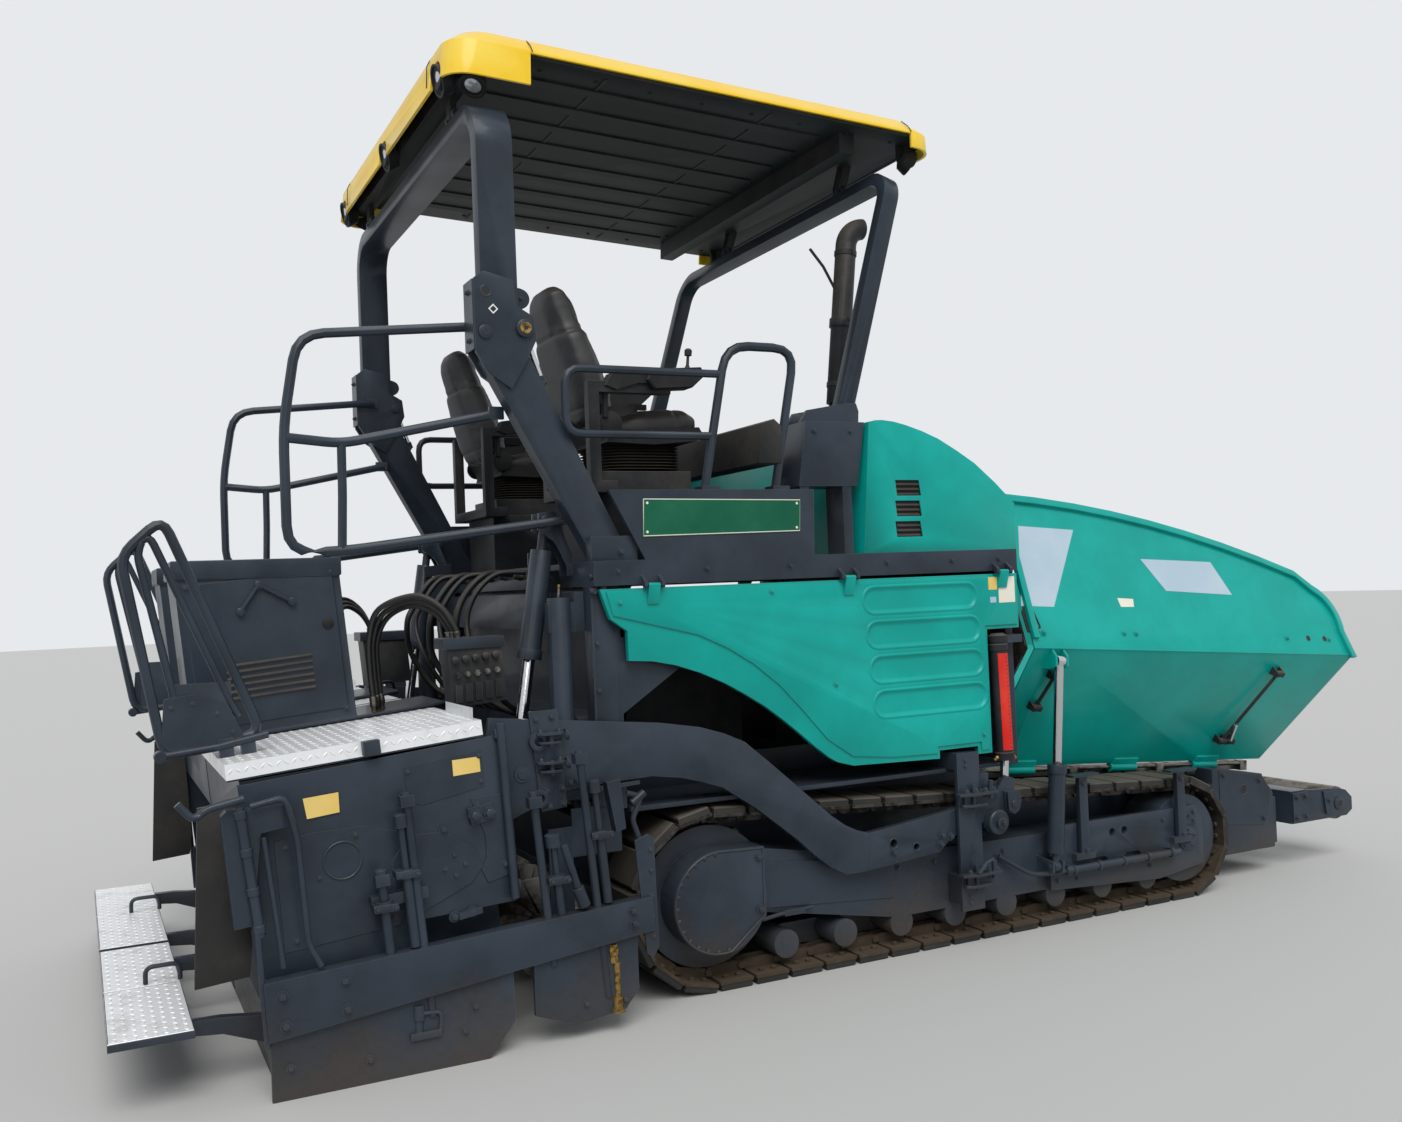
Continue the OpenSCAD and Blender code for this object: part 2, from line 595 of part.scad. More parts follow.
module exhaust_stack() color("#202224") translate(stack_foot) rotate([0, stack_tilt, 0]) difference() {
    union() {
        rod_z(0, 0, 50, [60, 832]);
        rod_z(0, 0, 58, [430, 470]);
        translate([100, 0, 830]) rotate([90, 0, 0]) rotate([0, 0, 100]) rotate_extrude(angle = 80)
            translate([100, 0]) circle(r = 50);
        rod_y(0, 0, 26, [-28, 28]);
        block([-26, 26], [-28, 28], [0, 66]);
    }
    rod_y(0, 0, 14 + fit, [-60, 60]);
    translate([100, 0, 830]) rotate([90, 0, 0]) rotate([0, 0, 98]) rotate_extrude(angle = 50)
        translate([100, 0]) circle(r = 44);
}

// Side panel: a pressed door hinged along its upper edge, with four ribs and an arched lower edge

function panel_points(e) = concat([[-1680 + e, deck_z - 14 - e], [-1638 + e, 1575], [-1567 + e, 1525]],
    // columns: place and height of the arched lower edge
    [for (c = [[-1565, 1405], [-1460, 1397], [-1355, 1374], [-1245, 1336], [-1135, 1286], [-1040, 1232],
               [-945, 1172], [-865, 1112], [-785, 1047], [-710, 982], [-640, 928], [-600, 905], [-520, 882],
               [-55, 868]]) [c[0] + (c[0] == -1565 ? e : 0), c[1] + e]],
    [[-55, 905 + e], [165, 905 + e], [165, 868 + e], [245 - e, 868 + e], [245 - e, 1440 + e],
     [body_front - 6 - e, 1440 + e], [body_front - 6 - e, deck_z - 14 - e]]);

raised_field = concat([[-1655, deck_z - 24], [-1628, 1590]],
    [for (c = [[-1255, 1495], [-1120, 1432], [-1005, 1362], [-880, 1262], [-775, 1152], [-650, 1010],
               [-525, 925]]) c],
    [[-300, 900], [-70, 895], [-70, 925], [180, 925], [180, 885], [228, 885], [228, 1458],
     [body_front - 20, 1458], [body_front - 20, deck_z - 24]]);

module side_panel(s) color("#00a693") side(s) {
    y = body_half - 30;
    difference() {
        union() {
            span([y, y + 30]) polygon(panel_points(0));
            span([y + 30, y + 38]) polygon(raised_field);
        }
        span([y - 10, y + 22]) polygon(panel_points(24));
        for (k = [0:3]) let (z = 1600 - k * 154, x = -380 + k * 12) span([y + 30, inf]) {
            translate([x, z - 60]) square([510, 120]);
            for (e = [0, 510]) translate([x + e, z]) circle(r = 60);
        }
    }
    difference() {
        for (x = panel_hinges) {
            rod_x([x + 20, x + 70], hinge_line[0], hinge_line[1], 10);
            along([x + 20, x + 70])
                polygon([[y + 28, deck_z - 80], [y + 46, deck_z - 80], [hinge_line[0] + 9, hinge_line[1] - 5],
                         [hinge_line[0] - 9, hinge_line[1] - 5], [y + 34, deck_z - 40], [y + 28, deck_z - 44]]);
        }
        for (x = panel_hinges) rod_x([x, x + 90], hinge_line[0], hinge_line[1], 5 + fit);
    }
}

// Hopper

module hopper_floor() color("#3c444c") {
    at_hopper() {
        block([5, hinge_len], [-hinge_y + 30, hinge_y - 30], [-40, -20]);
        along([5, hinge_len]) polygon([[-60, -20], [60, -20], [25, 80], [-25, 80]]);
        difference() {
            both() along([5, 17])
                polygon([[0, -20], [hinge_y - 30, -20], [hinge_y - 20, 60], [crease_y - 40, crease_h],
                         [crease_y - 40 - wing_lean * 600, crease_h + 560], [0, crease_h + 500]]);
            block([0, 30], [-640, 640], [-20, 190]);
        }
        both() {
            block([17, hinge_len], [640, hinge_y - 30], [-20, 10]);
            for (x = [20, 620, 1230, hinge_len - 60]) block([x, x + 50], [hinge_y - 30, hinge_y + 14], [-40, 14]);
            rod_x([20, hinge_len - 10], hinge_y, 0, 11);
        }
    }
    both() {
        block([body_front, body_front + 25], [660, hinge_y - 35], [560, 680]);
        block([1700, 1860], [chassis_half - 50, hinge_y - 32], [560, 590]);
    }
}

module conveyor() color("#2c2f33") {
    at_hopper() both() {
        for (y = [90, 590]) block([30, hinge_len - 20], [y, y + 30], [-20, 10]);
        for (x = [60:230:hinge_len - 60]) block([x, x + 40], [62, 636], [10, 28]);
    }
    both() {
        for (y = [90, 590]) block([-1595, body_front - 10], [y, y + 30], [tunnel_z, tunnel_z + 30]);
        for (x = [-1560:230:body_front - 100]) block([x, x + 40], [62, 636], [tunnel_z + 30, tunnel_z + 48]);
    }
}

wing_run = sqrt(pow(crease_y - hinge_y, 2) + pow(crease_h, 2));
wing_angle = atan2(crease_h, crease_y - hinge_y);
lean_angle = atan(wing_lean);

// Upper edge of the wing, in the plane of its upper panel
function upper_edge(d) = concat(
    [for (k = [0:8]) let (u = k * 250 + (k == 0 ? 34 : 0)) [u, wing_top - d - u * u / 12300]],
    [for (k = [0:12]) let (a = 66 - k * 79 / 12) [wing_len - 250 + (230 - d) * cos(a), 190 + (230 - d) * sin(a)]],
    [[wing_len + 4 - d, -14]]);

// Directions up the lower and the upper panel, and their inner normals, in the YZ plane
up_low = [cos(wing_angle), sin(wing_angle)];
up_high = [-sin(lean_angle), cos(lean_angle)];
in_low = [-sin(wing_angle), cos(wing_angle)];
in_high = [-cos(lean_angle), -sin(lean_angle)];
in_bend = (in_low + in_high) / (1 + in_low * in_high);

module wing(s) color("#00a693") at_hopper() side(s) {
    hinge = [hinge_y, 0];
    crease = [crease_y, crease_h];
    difference() {
        // one sheet bent at the crease
        along([26, wing_len]) polygon([hinge + 26 * up_low, crease, crease + (wing_top + 5) * up_high,
            crease + (wing_top + 5) * up_high + wing_t * in_high, crease + wing_t * in_bend,
            hinge + 26 * up_low + wing_t * in_low]);
        translate([0, hinge_y, 0]) rotate([wing_angle, 0, 0]) translate([0, 0, -50]) linear_extrude(100)
            polygon([[hinge_len + 80, 0], [wing_len + 4, wing_run + 4], [wing_len + 50, wing_run + 4],
                     [wing_len + 50, 0]]);
        translate([0, crease_y, crease_h]) rotate([90 + lean_angle, 0, 0]) translate([0, 0, -50])
            linear_extrude(100) polygon(concat(upper_edge(0), [[wing_len + 50, -14], [wing_len + 50, wing_top + 60],
                                                               [-10, wing_top + 60], [-10, wing_top]]));
    }
    // rolled rail along the top and the front edge
    translate([0, crease_y, crease_h]) rotate([90 + lean_angle, 0, 0]) translate([0, 0, -22])
        linear_extrude(24) difference() {
            polygon(concat([[22, 50], [22, wing_top]], upper_edge(-4), [[wing_len - 40, -14]]));
            polygon(concat([[56, -30], [56, wing_top - 32]], [for (p = upper_edge(32)) if (p[0] > 60) p],
                           [[wing_len - 32, -30]]));
        }
    difference() {
        for (x = [200, 900, 1500]) {
            rod_x([x, x + 180], hinge_y, 0, 24);
            translate([0, hinge_y, 0]) rotate([wing_angle, 0, 0])
                block([x + 6, x + 174], [16, 60], [-9, 4]);
        }
        rod_x([100, 1800], hinge_y, 0, 11 + fit);
    }
    // ears round the eye of the cylinder rod
    for (x = [wing_eye[0] - 40, wing_eye[0] + 28]) along([x, x + 12])
        polygon([[crease_y - 70, crease_h - 92], [crease_y + 2, crease_h - 2], [crease_y + 30, crease_h - 30],
                 [crease_y + 34, crease_h - 80], [crease_y - 4, crease_h - 96]]);
}

module wing_barrel(s) color("#3c444c") at_hopper() side(s) difference() {
    union() {
        barrel(wing_foot, wing_eye, 40, 66, 480);
        rod_x([wing_foot[0] - 17, wing_foot[0] + 17], wing_foot[1], wing_foot[2], 24);
    }
    rod_x([wing_foot[0] - 50, wing_foot[0] + 50], wing_foot[1], wing_foot[2], 12 + fit);
}

module wing_rod(s) color("#c9ccd0") at_hopper() side(s) {
    rod(wing_foot, wing_eye, 40, 345);
    rod_x([wing_eye[0] - 21, wing_eye[0] + 21], wing_eye[1], wing_eye[2], 26);
}

// Tow point: guide plate, tow pin and levelling cylinder on each side

module tow_guides() color("#3c444c") both() {
    y = body_half + 10;
    block([15, 140], [y, y + 20], [170, 885]);
    block([15, 140], [beam_out, y], [200, 330]);
    block([15, 140], [870, y], [bay_z + 20, 885]);
    span([y, y + 20])
        polygon([[140, 560], [260, 560], [330, 620], [345, 740], [290, 760], [240, 700], [140, 700]]);
    rod_y(tow_x, tow_z, 25, [arm_y - 6, y]);
    for (z = [300, 750]) block([140, 185], [y - 4, y + 26], [z - 35, z + 35]);
    between([316, y - 10, 830], [304, y - 10, 1400], 40);
    between([306, y - 10, 715], [316, y - 10, 840], 20);
    rod_y(305, 715, 32, [y - 26, y]);
    block([300, body_front - 5], [track_out - 6, y + 8], [1372, 1408]);
}

// Tow arms with their rear brackets

module tow_arms() color("#3c444c") both() {
    difference() {
        union() {
            span([arm_y, arm_y + arm_t])
                polygon([[-2480, 1045], [-2250, 1095], [-2180, 1100], [-2150, 1222], [-1715, 1175], [-1435, 1145], [-1255, 1112], [-1150, 1078],
                         [-1055, 1035], [-925, 925], [-765, 785], [-645, 678], [-575, 628], [-515, 598],
                         [-455, 580], [-295, 595], [-25, 625], [180, 668], [tow_x + 30, tow_z + 46],
                         [tow_x + 50, tow_z], [tow_x + 30, tow_z - 46], [180, 572], [-15, 500], [-75, 450],
                         [-485, 415], [-575, 415], [-655, 455], [-735, 520], [-815, 595], [-1015, 755],
                         [-1165, 855], [-1265, 890], [-1355, 915], [-1485, 935], [-1755, 925], [-1865, 915],
                         [-2100, 820], [-2480, 700]]);
        }
        rod_y(tow_x, tow_z, 25 + fit, [arm_y - 50, arm_y + 90]);
        for (c = [[-327, 518, 20], [-205, 488, 16]]) rod_y(c[0], c[1], c[2], [arm_y - 50, arm_y + 90]);
    }
    block([-2440, -2200], [screed_half + fit, arm_y], [850, 1050]);
    span([arm_y + arm_t, arm_y + arm_t + 14])
        polygon([[-2000, 1235], [-1883, 1238], [-1857, 856], [-1961, 848]]);
    for (z = [900, 1120]) difference() {
        span([arm_y + arm_t, arm_y + arm_t + 34]) translate([-1970, z]) circle(r = 34);
        rod_y(-1970, z, 18, [arm_y + arm_t - 5, inf]);
    }
}

// Basic screed: the fixed middle frame with its telescope sockets and lift lugs

module screed_frame() color("#3c444c") at_screed() {
    block([560, 960], [-screed_half, screed_half], [0, 250]);
    block([900, 960], [-screed_half, screed_half], [250, 1000]);
    block([640, 960], [-screed_half, screed_half], [1000, screed_h]);
    both() {
        block([560, 900], [screed_half - 30, screed_half], [250, 1000]);
        for (y = [20, 600, screed_half - 80]) difference() {
            block([tube_at[0], 900], [y, y + 40], [tube_at[1] - 60, tube_at[1] + 60]);
            rod_y(tube_at[0], tube_at[1], tube_r[0] - 10, [y - 10, y + 50]);
        }
        difference() {
            rod_y(tube_at[0], tube_at[1], tube_r[0], [10, screed_half]);
            rod_y(tube_at[0], tube_at[1], tube_r[1] + fit, [30, screed_half + 10]);
        }
        for (y = [lift_y - 42, lift_y + 30]) span([y, y + 12])
            polygon([[960, 900], [960, 1060], [lift_eye[0] + 10, lift_eye[1] + 42], [lift_eye[0] + 42, lift_eye[1]],
                     [lift_eye[0] + 10, lift_eye[1] - 42]]);
        for (y = [lift_y - 48, lift_y + 30]) rod_y(lift_eye[0], lift_eye[1], 20, [y, y + 18]);
        block([960, 1000], [260, 600], [900, walk_v + 8]);
        // hydraulic box in front of the frame
        block([960, 1000], [790, 860], [960, 1160]);
        block([965, 1190], [760, 895], [1160, 1400]);
    }
}

module telescope(s) color("#c9ccd0") at_screed() side(s) difference() {
    rod_y(tube_at[0], tube_at[1], tube_r[1], [40, 1235]);
    rod_y(tube_at[0], tube_at[1], tube_r[2] + fit, [30, 1245]);
}

lift_base = [lift_top[0], lift_y, lift_top[1]];
lift_end = [screed_point(lift_eye)[0], lift_y, screed_point(lift_eye)[1]];

module lift_barrel(s) color("#3c444c") side(s) difference() {
    union() {
        barrel(lift_base, lift_end, 45, 115, 565);
        rod_y(lift_top[0], lift_top[1], 30, [lift_y - 26, lift_y + 26]);
    }
    rod_y(lift_top[0], lift_top[1], 18 + fit, [lift_y - 60, lift_y + 60]);
}

module lift_rod(s) color("#c9ccd0") side(s) {
    rod(lift_base, lift_end, 45, 395);
    rod_y(lift_end[0], lift_end[2], 30, [lift_y - 24, lift_y + 24]);
}

// Extending screed with its side plate and telescope tube

module extension(s) color("#3c444c") at_screed() side(s) {
    block([80, 540], [20, gate_y], [0, 250]);
    block([80, 540], [20, gate_y], [820, 860]);
    block([80, 120], [20, gate_y], [860, screed_h]);
    for (y = [20, 640, gate_y - 12]) block([120, 540], [y, y + 12], [860, screed_h]);
    span([gate_y, gate_y + 20])
        polygon([[70, 1070], [1010, 1084], [1000, 455], [600, 470], [560, 20], [80, 20]]);
    rod_y(tube_at[0], tube_at[1], tube_r[2], [50, gate_y]);
}

module end_gate(s) color("#3c444c") side(s) {
    y = gate_y + 20;
    at_screed() {
        span([y + 40, y + 100]) polygon([[60, 206], [1500, 240], [1508, 370], [66, 406]]);
        for (u = [120, 480]) block([u, u + 80], [y, y + 40], [240, 380]);
        // columns: foot and head of a spindle in the screed frame
        for (c = [[500, 300, 690], [620, 140, 950], [1090, 200, 860], [1290, 30, 980]])
            rod_z(c[0], y + 70, 16, [c[1], c[2]]);
        for (c = [[500, 640], [620, 900], [1090, 800], [1290, 930]])
            block([c[0] - 24, c[0] + 24], [y + 46, y + 94], [c[1], c[1] + 40]);
        block([460, 660], [y, y + 60], [560, 600]);
        span([y, y + 60]) polygon([[0, 985], [20, 1000], [210, 985], [210, 910], [120, 905], [60, 600], [0, 600]]);
    }
    span([y + 55, y + 75])
        polygon([[-3000, 0], [-2240, 0], [-2140, 120], [-2140, 300], [-3000, 230]]);
    span([y + 55, y + 75]) polygon([[-1900, 60], [-1700, 80], [-1640, 150], [-1640, 380], [-2060, 370], [-2060, 120]]);
}

// Walkway over the extension with its steps, hand rails and rubber flap

module walkway(s) color("#3c444c") side(s) {
    at_screed() {
        block([40, 945], [20, gate_y + 20], [walk_v - 60, walk_v]);
        block([500, 560], [gate_y + 20, gate_y + 60], [walk_v - 50, walk_v]);
        for (y = [60, gate_y - 60]) block([80, 120], [y, y + 40], [screed_h, walk_v - 60]);
        for (u = [45, 120]) block([u, u + 50], [1080, 1120], [walk_v - 5, walk_v + 70]);
        span([gate_y - 60, gate_y - 40]) polygon([[-60, 1010], [-140, 400], [40, 400], [60, 500], [80, 1010]]);
        for (y = [200, 1100]) span([y, y + 40])
            polygon([[80, 120], [80, 220], [-60, 250], [-400, 285], [-400, 255], [-60, 190]]);
    }
    block([step_rear, -3230], [20, gate_y], [238, 262]);
    rail([[-3060, 1196], [-3290, 1180], [-3410, 1880], [-3270, 2010], [-2960, 1230], [-3080, 1205]], 1100, 18, 60);
    block([-3260, -3060], [1092, 1108], [1190, 1420]);
}

// Cabinet on a shelf of the basic screed, over the walkway that slides out from under it
module cabinet(s) color("#3c444c") at_screed() side(s) {
    block([30, 1000], [240, 630], [walk_v + 8, walk_v + 20]);
    block([0, 630], [250, 620], [walk_v + 20, 1815]);
    block([30, 600], [620, 626], [walk_v + 60, 1780]);
}

// Screw surface round the z axis from z0 to z1
module flight(z0, z1, turns, steps = 16) {
    last = turns * steps;
    ring = [[30, -9], [auger_r, -7], [auger_r, 7], [30, 9]];
    points = [for (i = [0:last], q = ring) let (a = i * 360 / steps)
        [q[0] * cos(a), q[0] * sin(a), z0 + 9 + (z1 - z0 - 18) * i / last + q[1]]];
    sides = [for (i = [0:last - 1], k = [0:3]) let (a = i * 4 + k, b = i * 4 + (k + 1) % 4)
        each [[a, b, b + 4], [a, b + 4, a + 4]]];
    polyhedron(points, concat(sides, [[3, 2, 1, 0], [last * 4, last * 4 + 1, last * 4 + 2, last * 4 + 3]]));
}

// Auger with its flight on a hollow shaft

module auger(s) color("#4a4f55") side(s) translate([auger_x, 0, auger_z]) rotate([-90, 0, 0]) {
    difference() {
        translate([0, 0, 66]) cylinder(r = 42, h = wall_in - 18);
        translate([0, 0, 60]) cylinder(r = 20 + fit, h = 70);
        translate([0, 0, wall_in - 10]) cylinder(r = 20 + fit, h = 70);
    }
    flight(76, wall_in + 36, 3.5);
}

// Swinging push bar with the carriers of its rollers

module push_bar() color("#3c444c") {
    difference() {
        union() {
            block([box_front + 120, box_front + 240], [-1050, 1050], [240, 420]);
            rod_z(box_front + 75, 0, 62, [240, 420]);
            block([box_front + 75, box_front + 130], [-62, 62], [240, 420]);
        }
        rod_z(box_front + 75, 0, 40 + fit, [200, 500]);
    }
    both() for (y = [430, 1035]) {
        span([y, y + 15]) union() {
            polygon([[box_front + 200, 240], [box_front + 200, 420], [roller_x, 400], [roller_x + 60, 385],
                     [roller_x + 110, 340], [roller_x + 110, 270], [roller_x + 60, 240]]);
        }
    }
    both() rod_y(roller_x, roller_z, 20, [430, 1050]);
}

module push_roller(s) color("#8d9297") side(s) difference() {
    rod_y(roller_x, roller_z, roller_r, [451, 1029]);
    rod_y(roller_x, roller_z, 20 + fit, [400, 1100]);
}

place() chassis();
place() body_frame();
place() corner_posts();
place() undercarriage(-1);  // undercarriage_right
place() undercarriage(1);  // undercarriage_left
place() track(-1);  // track_right
place() track(1);  // track_left
place() engine_block();
place() deck();
place() hood();
place() seat_bases();
place() seat_pads();
place() console();
place() guard_rails();
place() roof_struts();
place() hopper_floor();
place() conveyor();
place() tow_guides();
place() wing(-1);  // wing_right
place() wing(1);  // wing_left
place() wing_barrel(-1);  // wing_barrel_right
place() wing_barrel(1);  // wing_barrel_left
place() wing_rod(-1);  // wing_rod_right
place() wing_rod(1);  // wing_rod_left
place() side_panel(-1);  // side_panel_right
place() side_panel(1);  // side_panel_left
place() rear_arch();
place() roof_shell();
place() roof_lining();
place() front_arch();
place() exhaust_stack();
place() tow_arms();
place() screed_frame();
place() telescope(-1);  // telescope_right
place() telescope(1);  // telescope_left
place() lift_barrel(-1);  // lift_barrel_right
place() lift_barrel(1);  // lift_barrel_left
place() lift_rod(-1);  // lift_rod_right
place() lift_rod(1);  // lift_rod_left
place() extension(-1);  // extension_right
place() extension(1);  // extension_left
place() end_gate(-1);  // end_gate_right
place() end_gate(1);  // end_gate_left
place() walkway(-1);  // walkway_right
place() walkway(1);  // walkway_left
place() cabinet(-1);  // cabinet_right
place() cabinet(1);  // cabinet_left
place() auger(-1);  // auger_right
place() auger(1);  // auger_left
place() push_bar();
place() push_roller(-1);  // push_roller_right
place() push_roller(1);  // push_roller_left
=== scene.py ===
# %% [markdown]
# Tracked asphalt paver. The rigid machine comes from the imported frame, with every joint in its place.
# This file is a lesson in giving such a frame its looks: paint, worn steel, rubber and upholstery as node
# materials, and the small pieces that a frame leaves out, such as bolts, hoses, lamps and seats.
# Every measure is in metres, X is forward, Y is the machine's left and Z is up.

# %% Setup
import math

import bmesh
import bpy
from mathutils import Matrix, Vector


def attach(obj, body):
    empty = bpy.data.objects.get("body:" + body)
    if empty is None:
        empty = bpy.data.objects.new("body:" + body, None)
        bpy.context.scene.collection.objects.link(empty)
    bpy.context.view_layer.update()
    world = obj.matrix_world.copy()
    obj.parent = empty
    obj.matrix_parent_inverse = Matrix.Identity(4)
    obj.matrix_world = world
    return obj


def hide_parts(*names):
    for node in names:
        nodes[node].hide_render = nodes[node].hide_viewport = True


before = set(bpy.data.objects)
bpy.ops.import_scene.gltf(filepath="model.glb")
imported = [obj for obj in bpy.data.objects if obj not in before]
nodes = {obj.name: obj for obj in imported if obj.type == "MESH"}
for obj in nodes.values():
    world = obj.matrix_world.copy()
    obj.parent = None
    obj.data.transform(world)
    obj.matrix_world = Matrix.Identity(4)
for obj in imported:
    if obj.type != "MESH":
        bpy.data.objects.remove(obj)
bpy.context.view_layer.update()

# %% [markdown]
# The drawings of the machine count x in millimetres from a point near the tow pins, and the frame counts from
# the middle of the outer box. One small function turns a drawing point into a frame point, so that the
# measures below read as they do in the workshop.

# %% Points in millimetres
SHIFT = 0.265
MM = 0.001


def at(x, y, z):
    return Vector((x * MM + SHIFT, y * MM, z * MM))


SCREED_ORIGIN = at(-3050, 0, 0)
SCREED_TILT = math.radians(5)
HOPPER_ORIGIN = at(440, 0, 716)
HOPPER_TILT = math.radians(4.3)


def at_screed(u, y, v):
    # the parked screed stands nose up by five degrees
    c, s = math.cos(SCREED_TILT), math.sin(SCREED_TILT)
    return SCREED_ORIGIN + Vector((u * c - v * s, y, u * s + v * c)) * MM


def at_hopper(u, y, v):
    c, s = math.cos(HOPPER_TILT), math.sin(HOPPER_TILT)
    return HOPPER_ORIGIN + Vector((u * c + v * s, y, -u * s + v * c)) * MM


print("tow pin", [round(c, 3) for c in at(220, 0, 620)])

# %% [markdown]
# Colours are written as they look on a screen and turned into linear light, which is what shader sockets
# hold.

# %% Colours


def screen(r, g, b):
    parts = [c / 255 for c in (r, g, b)]
    return tuple(c / 12.92 if c <= 0.04045 else ((c + 0.055) / 1.055) ** 2.4 for c in parts) + (1.0,)


TEAL = screen(0, 150, 140)
TEAL_FADED = screen(0, 162, 152)
GREY = screen(48, 57, 68)
GREY_DARK = screen(36, 43, 52)
YELLOW = screen(240, 196, 24)
YELLOW_FADED = screen(246, 212, 72)
DUST = screen(150, 138, 120)
MUD = screen(92, 80, 66)
print("teal in linear light", [round(c, 3) for c in TEAL])

# %% [markdown]
# Shared effects are node groups. Each one puts out a mask or a height that changes over the surface, and a
# material mixes it in with its own amounts. The first finds edges: a bevelled normal differs from the true
# one only near an edge, and noise breaks that line up, as chips and rubs do on a working machine.

# %% Group helper


def new_group(name, inputs, outputs):
    # inputs pairs each label with its usual value
    group = bpy.data.node_groups.new(name, "ShaderNodeTree")
    for label, value in inputs.items():
        socket = group.interface.new_socket(label, in_out="INPUT", socket_type="NodeSocketFloat")
        socket.default_value = value
    for label in outputs:
        group.interface.new_socket(label, in_out="OUTPUT", socket_type="NodeSocketFloat")
    return group, group.nodes.new("NodeGroupInput"), group.nodes.new("NodeGroupOutput")


def feed(tree, socket, value):
    # a socket takes another node's output, or holds a plain value
    if isinstance(value, bpy.types.NodeSocket):
        tree.links.new(value, socket)
    else:
        socket.default_value = value


def math_node(tree, operation, a, b, clamp=False):
    node = tree.nodes.new("ShaderNodeMath")
    node.operation, node.use_clamp = operation, clamp
    feed(tree, node.inputs[0], a)
    feed(tree, node.inputs[1], b)
    return node.outputs[0]


def times(tree, a, b, clamp=False):
    return math_node(tree, "MULTIPLY", a, b, clamp)


def plus_share(tree, base, mask, share, clamp=False):
    # the base and a share of the mask
    return math_node(tree, "ADD", base, times(tree, mask, share), clamp)


def ramp(tree, value, low, high):
    # a soft step from 0 at low to 1 at high
    node = tree.nodes.new("ShaderNodeMapRange")
    node.interpolation_type = "SMOOTHSTEP"
    for k, part in enumerate((value, low, high)):
        feed(tree, node.inputs[k], part)
    return node.outputs[0]


def noise(tree, scale, detail, rough, stretch=None, distort=0.0):
    # noise in the piece's own coordinates, so that it stays with the piece when the machine moves
    where = tree.nodes.new("ShaderNodeTexCoord").outputs["Object"]
    if stretch:
        mapping = tree.nodes.new("ShaderNodeMapping")
        mapping.inputs["Scale"].default_value = stretch
        feed(tree, mapping.inputs["Vector"], where)
        where = mapping.outputs[0]
    node = tree.nodes.new("ShaderNodeTexNoise")
    settings = {"Scale": scale, "Detail": detail, "Roughness": rough, "Distortion": distort, "Vector": where}
    for label, value in settings.items():
        feed(tree, node.inputs[label], value)
    return node.outputs["Fac"]


print("helpers ready")

# %% Edge wear group
edge_wear, g_in, g_out = new_group("edge_wear", {"Width": 0.004, "Amount": 0.5, "Chip scale": 30.0}, ["Mask"])
bevel = edge_wear.nodes.new("ShaderNodeBevel")
bevel.samples = 4
feed(edge_wear, bevel.inputs["Radius"], g_in.outputs["Width"])
geometry = edge_wear.nodes.new("ShaderNodeNewGeometry")
dot = edge_wear.nodes.new("ShaderNodeVectorMath")
dot.operation = "DOT_PRODUCT"
feed(edge_wear, dot.inputs[0], bevel.outputs[0])
feed(edge_wear, dot.inputs[1], geometry.outputs["Normal"])
edge = math_node(edge_wear, "SUBTRACT", 1.0, dot.outputs["Value"])
chips = noise(edge_wear, g_in.outputs["Chip scale"], 6.0, 0.65)
edge = ramp(edge_wear, times(edge_wear, edge, times(edge_wear, chips, 9.0)), 0.25, 0.9)
feed(edge_wear, g_out.inputs["Mask"], times(edge_wear, edge, g_in.outputs["Amount"], True))
print("edge wear group", len(edge_wear.nodes), "nodes")

# %% [markdown]
# Dust settles on what faces up and mud is thrown up from below, so the second group reads the surface's own
# direction and height. Two noises of different size keep it from looking like fog.

# %% Dirt group
dirt, g_in, g_out = new_group("site_dirt", {"Dust": 0.4, "Mud height": 0.5, "Mud": 0.5, "Scale": 3.0},
                              ["Dust mask", "Mud mask", "Cloud"])
coords = dirt.nodes.new("ShaderNodeTexCoord")
up = dirt.nodes.new("ShaderNodeSeparateXYZ")
feed(dirt, up.inputs[0], coords.outputs["Normal"])
where = dirt.nodes.new("ShaderNodeSeparateXYZ")
feed(dirt, where.inputs[0], coords.outputs["Object"])
broad = noise(dirt, g_in.outputs["Scale"], 5.0, 0.6)
fine = noise(dirt, 42.0, 5.0, 0.7)
facing = math_node(dirt, "ADD", times(dirt, up.outputs["Z"], 0.42), 0.12)
dust = plus_share(dirt, plus_share(dirt, facing, broad, 0.55), fine, 0.2)
dust = ramp(dirt, dust, 0.42, 1.05)
feed(dirt, g_out.inputs["Dust mask"], times(dirt, dust, g_in.outputs["Dust"], True))
below = math_node(dirt, "SUBTRACT", g_in.outputs["Mud height"], where.outputs["Z"])
splash = plus_share(dirt, plus_share(dirt, times(dirt, below, 1.6), broad, 0.9), fine, 0.45)
splash = ramp(dirt, splash, 0.55, 1.35)
feed(dirt, g_out.inputs["Mud mask"], times(dirt, splash, g_in.outputs["Mud"], True))
feed(dirt, g_out.inputs["Cloud"], broad)
print("dirt group", len(dirt.nodes), "nodes")

# %% [markdown]
# Sprayed paint has a faint orange peel, and handled steel has fine scratches along one direction. Both are
# heights for a Bump node and masks for roughness.

# %% Surface groups
peel, g_in, g_out = new_group("orange_peel", {"Scale": 220.0}, ["Height"])
feed(peel, g_out.inputs["Height"], noise(peel, g_in.outputs["Scale"], 2.0, 0.4))

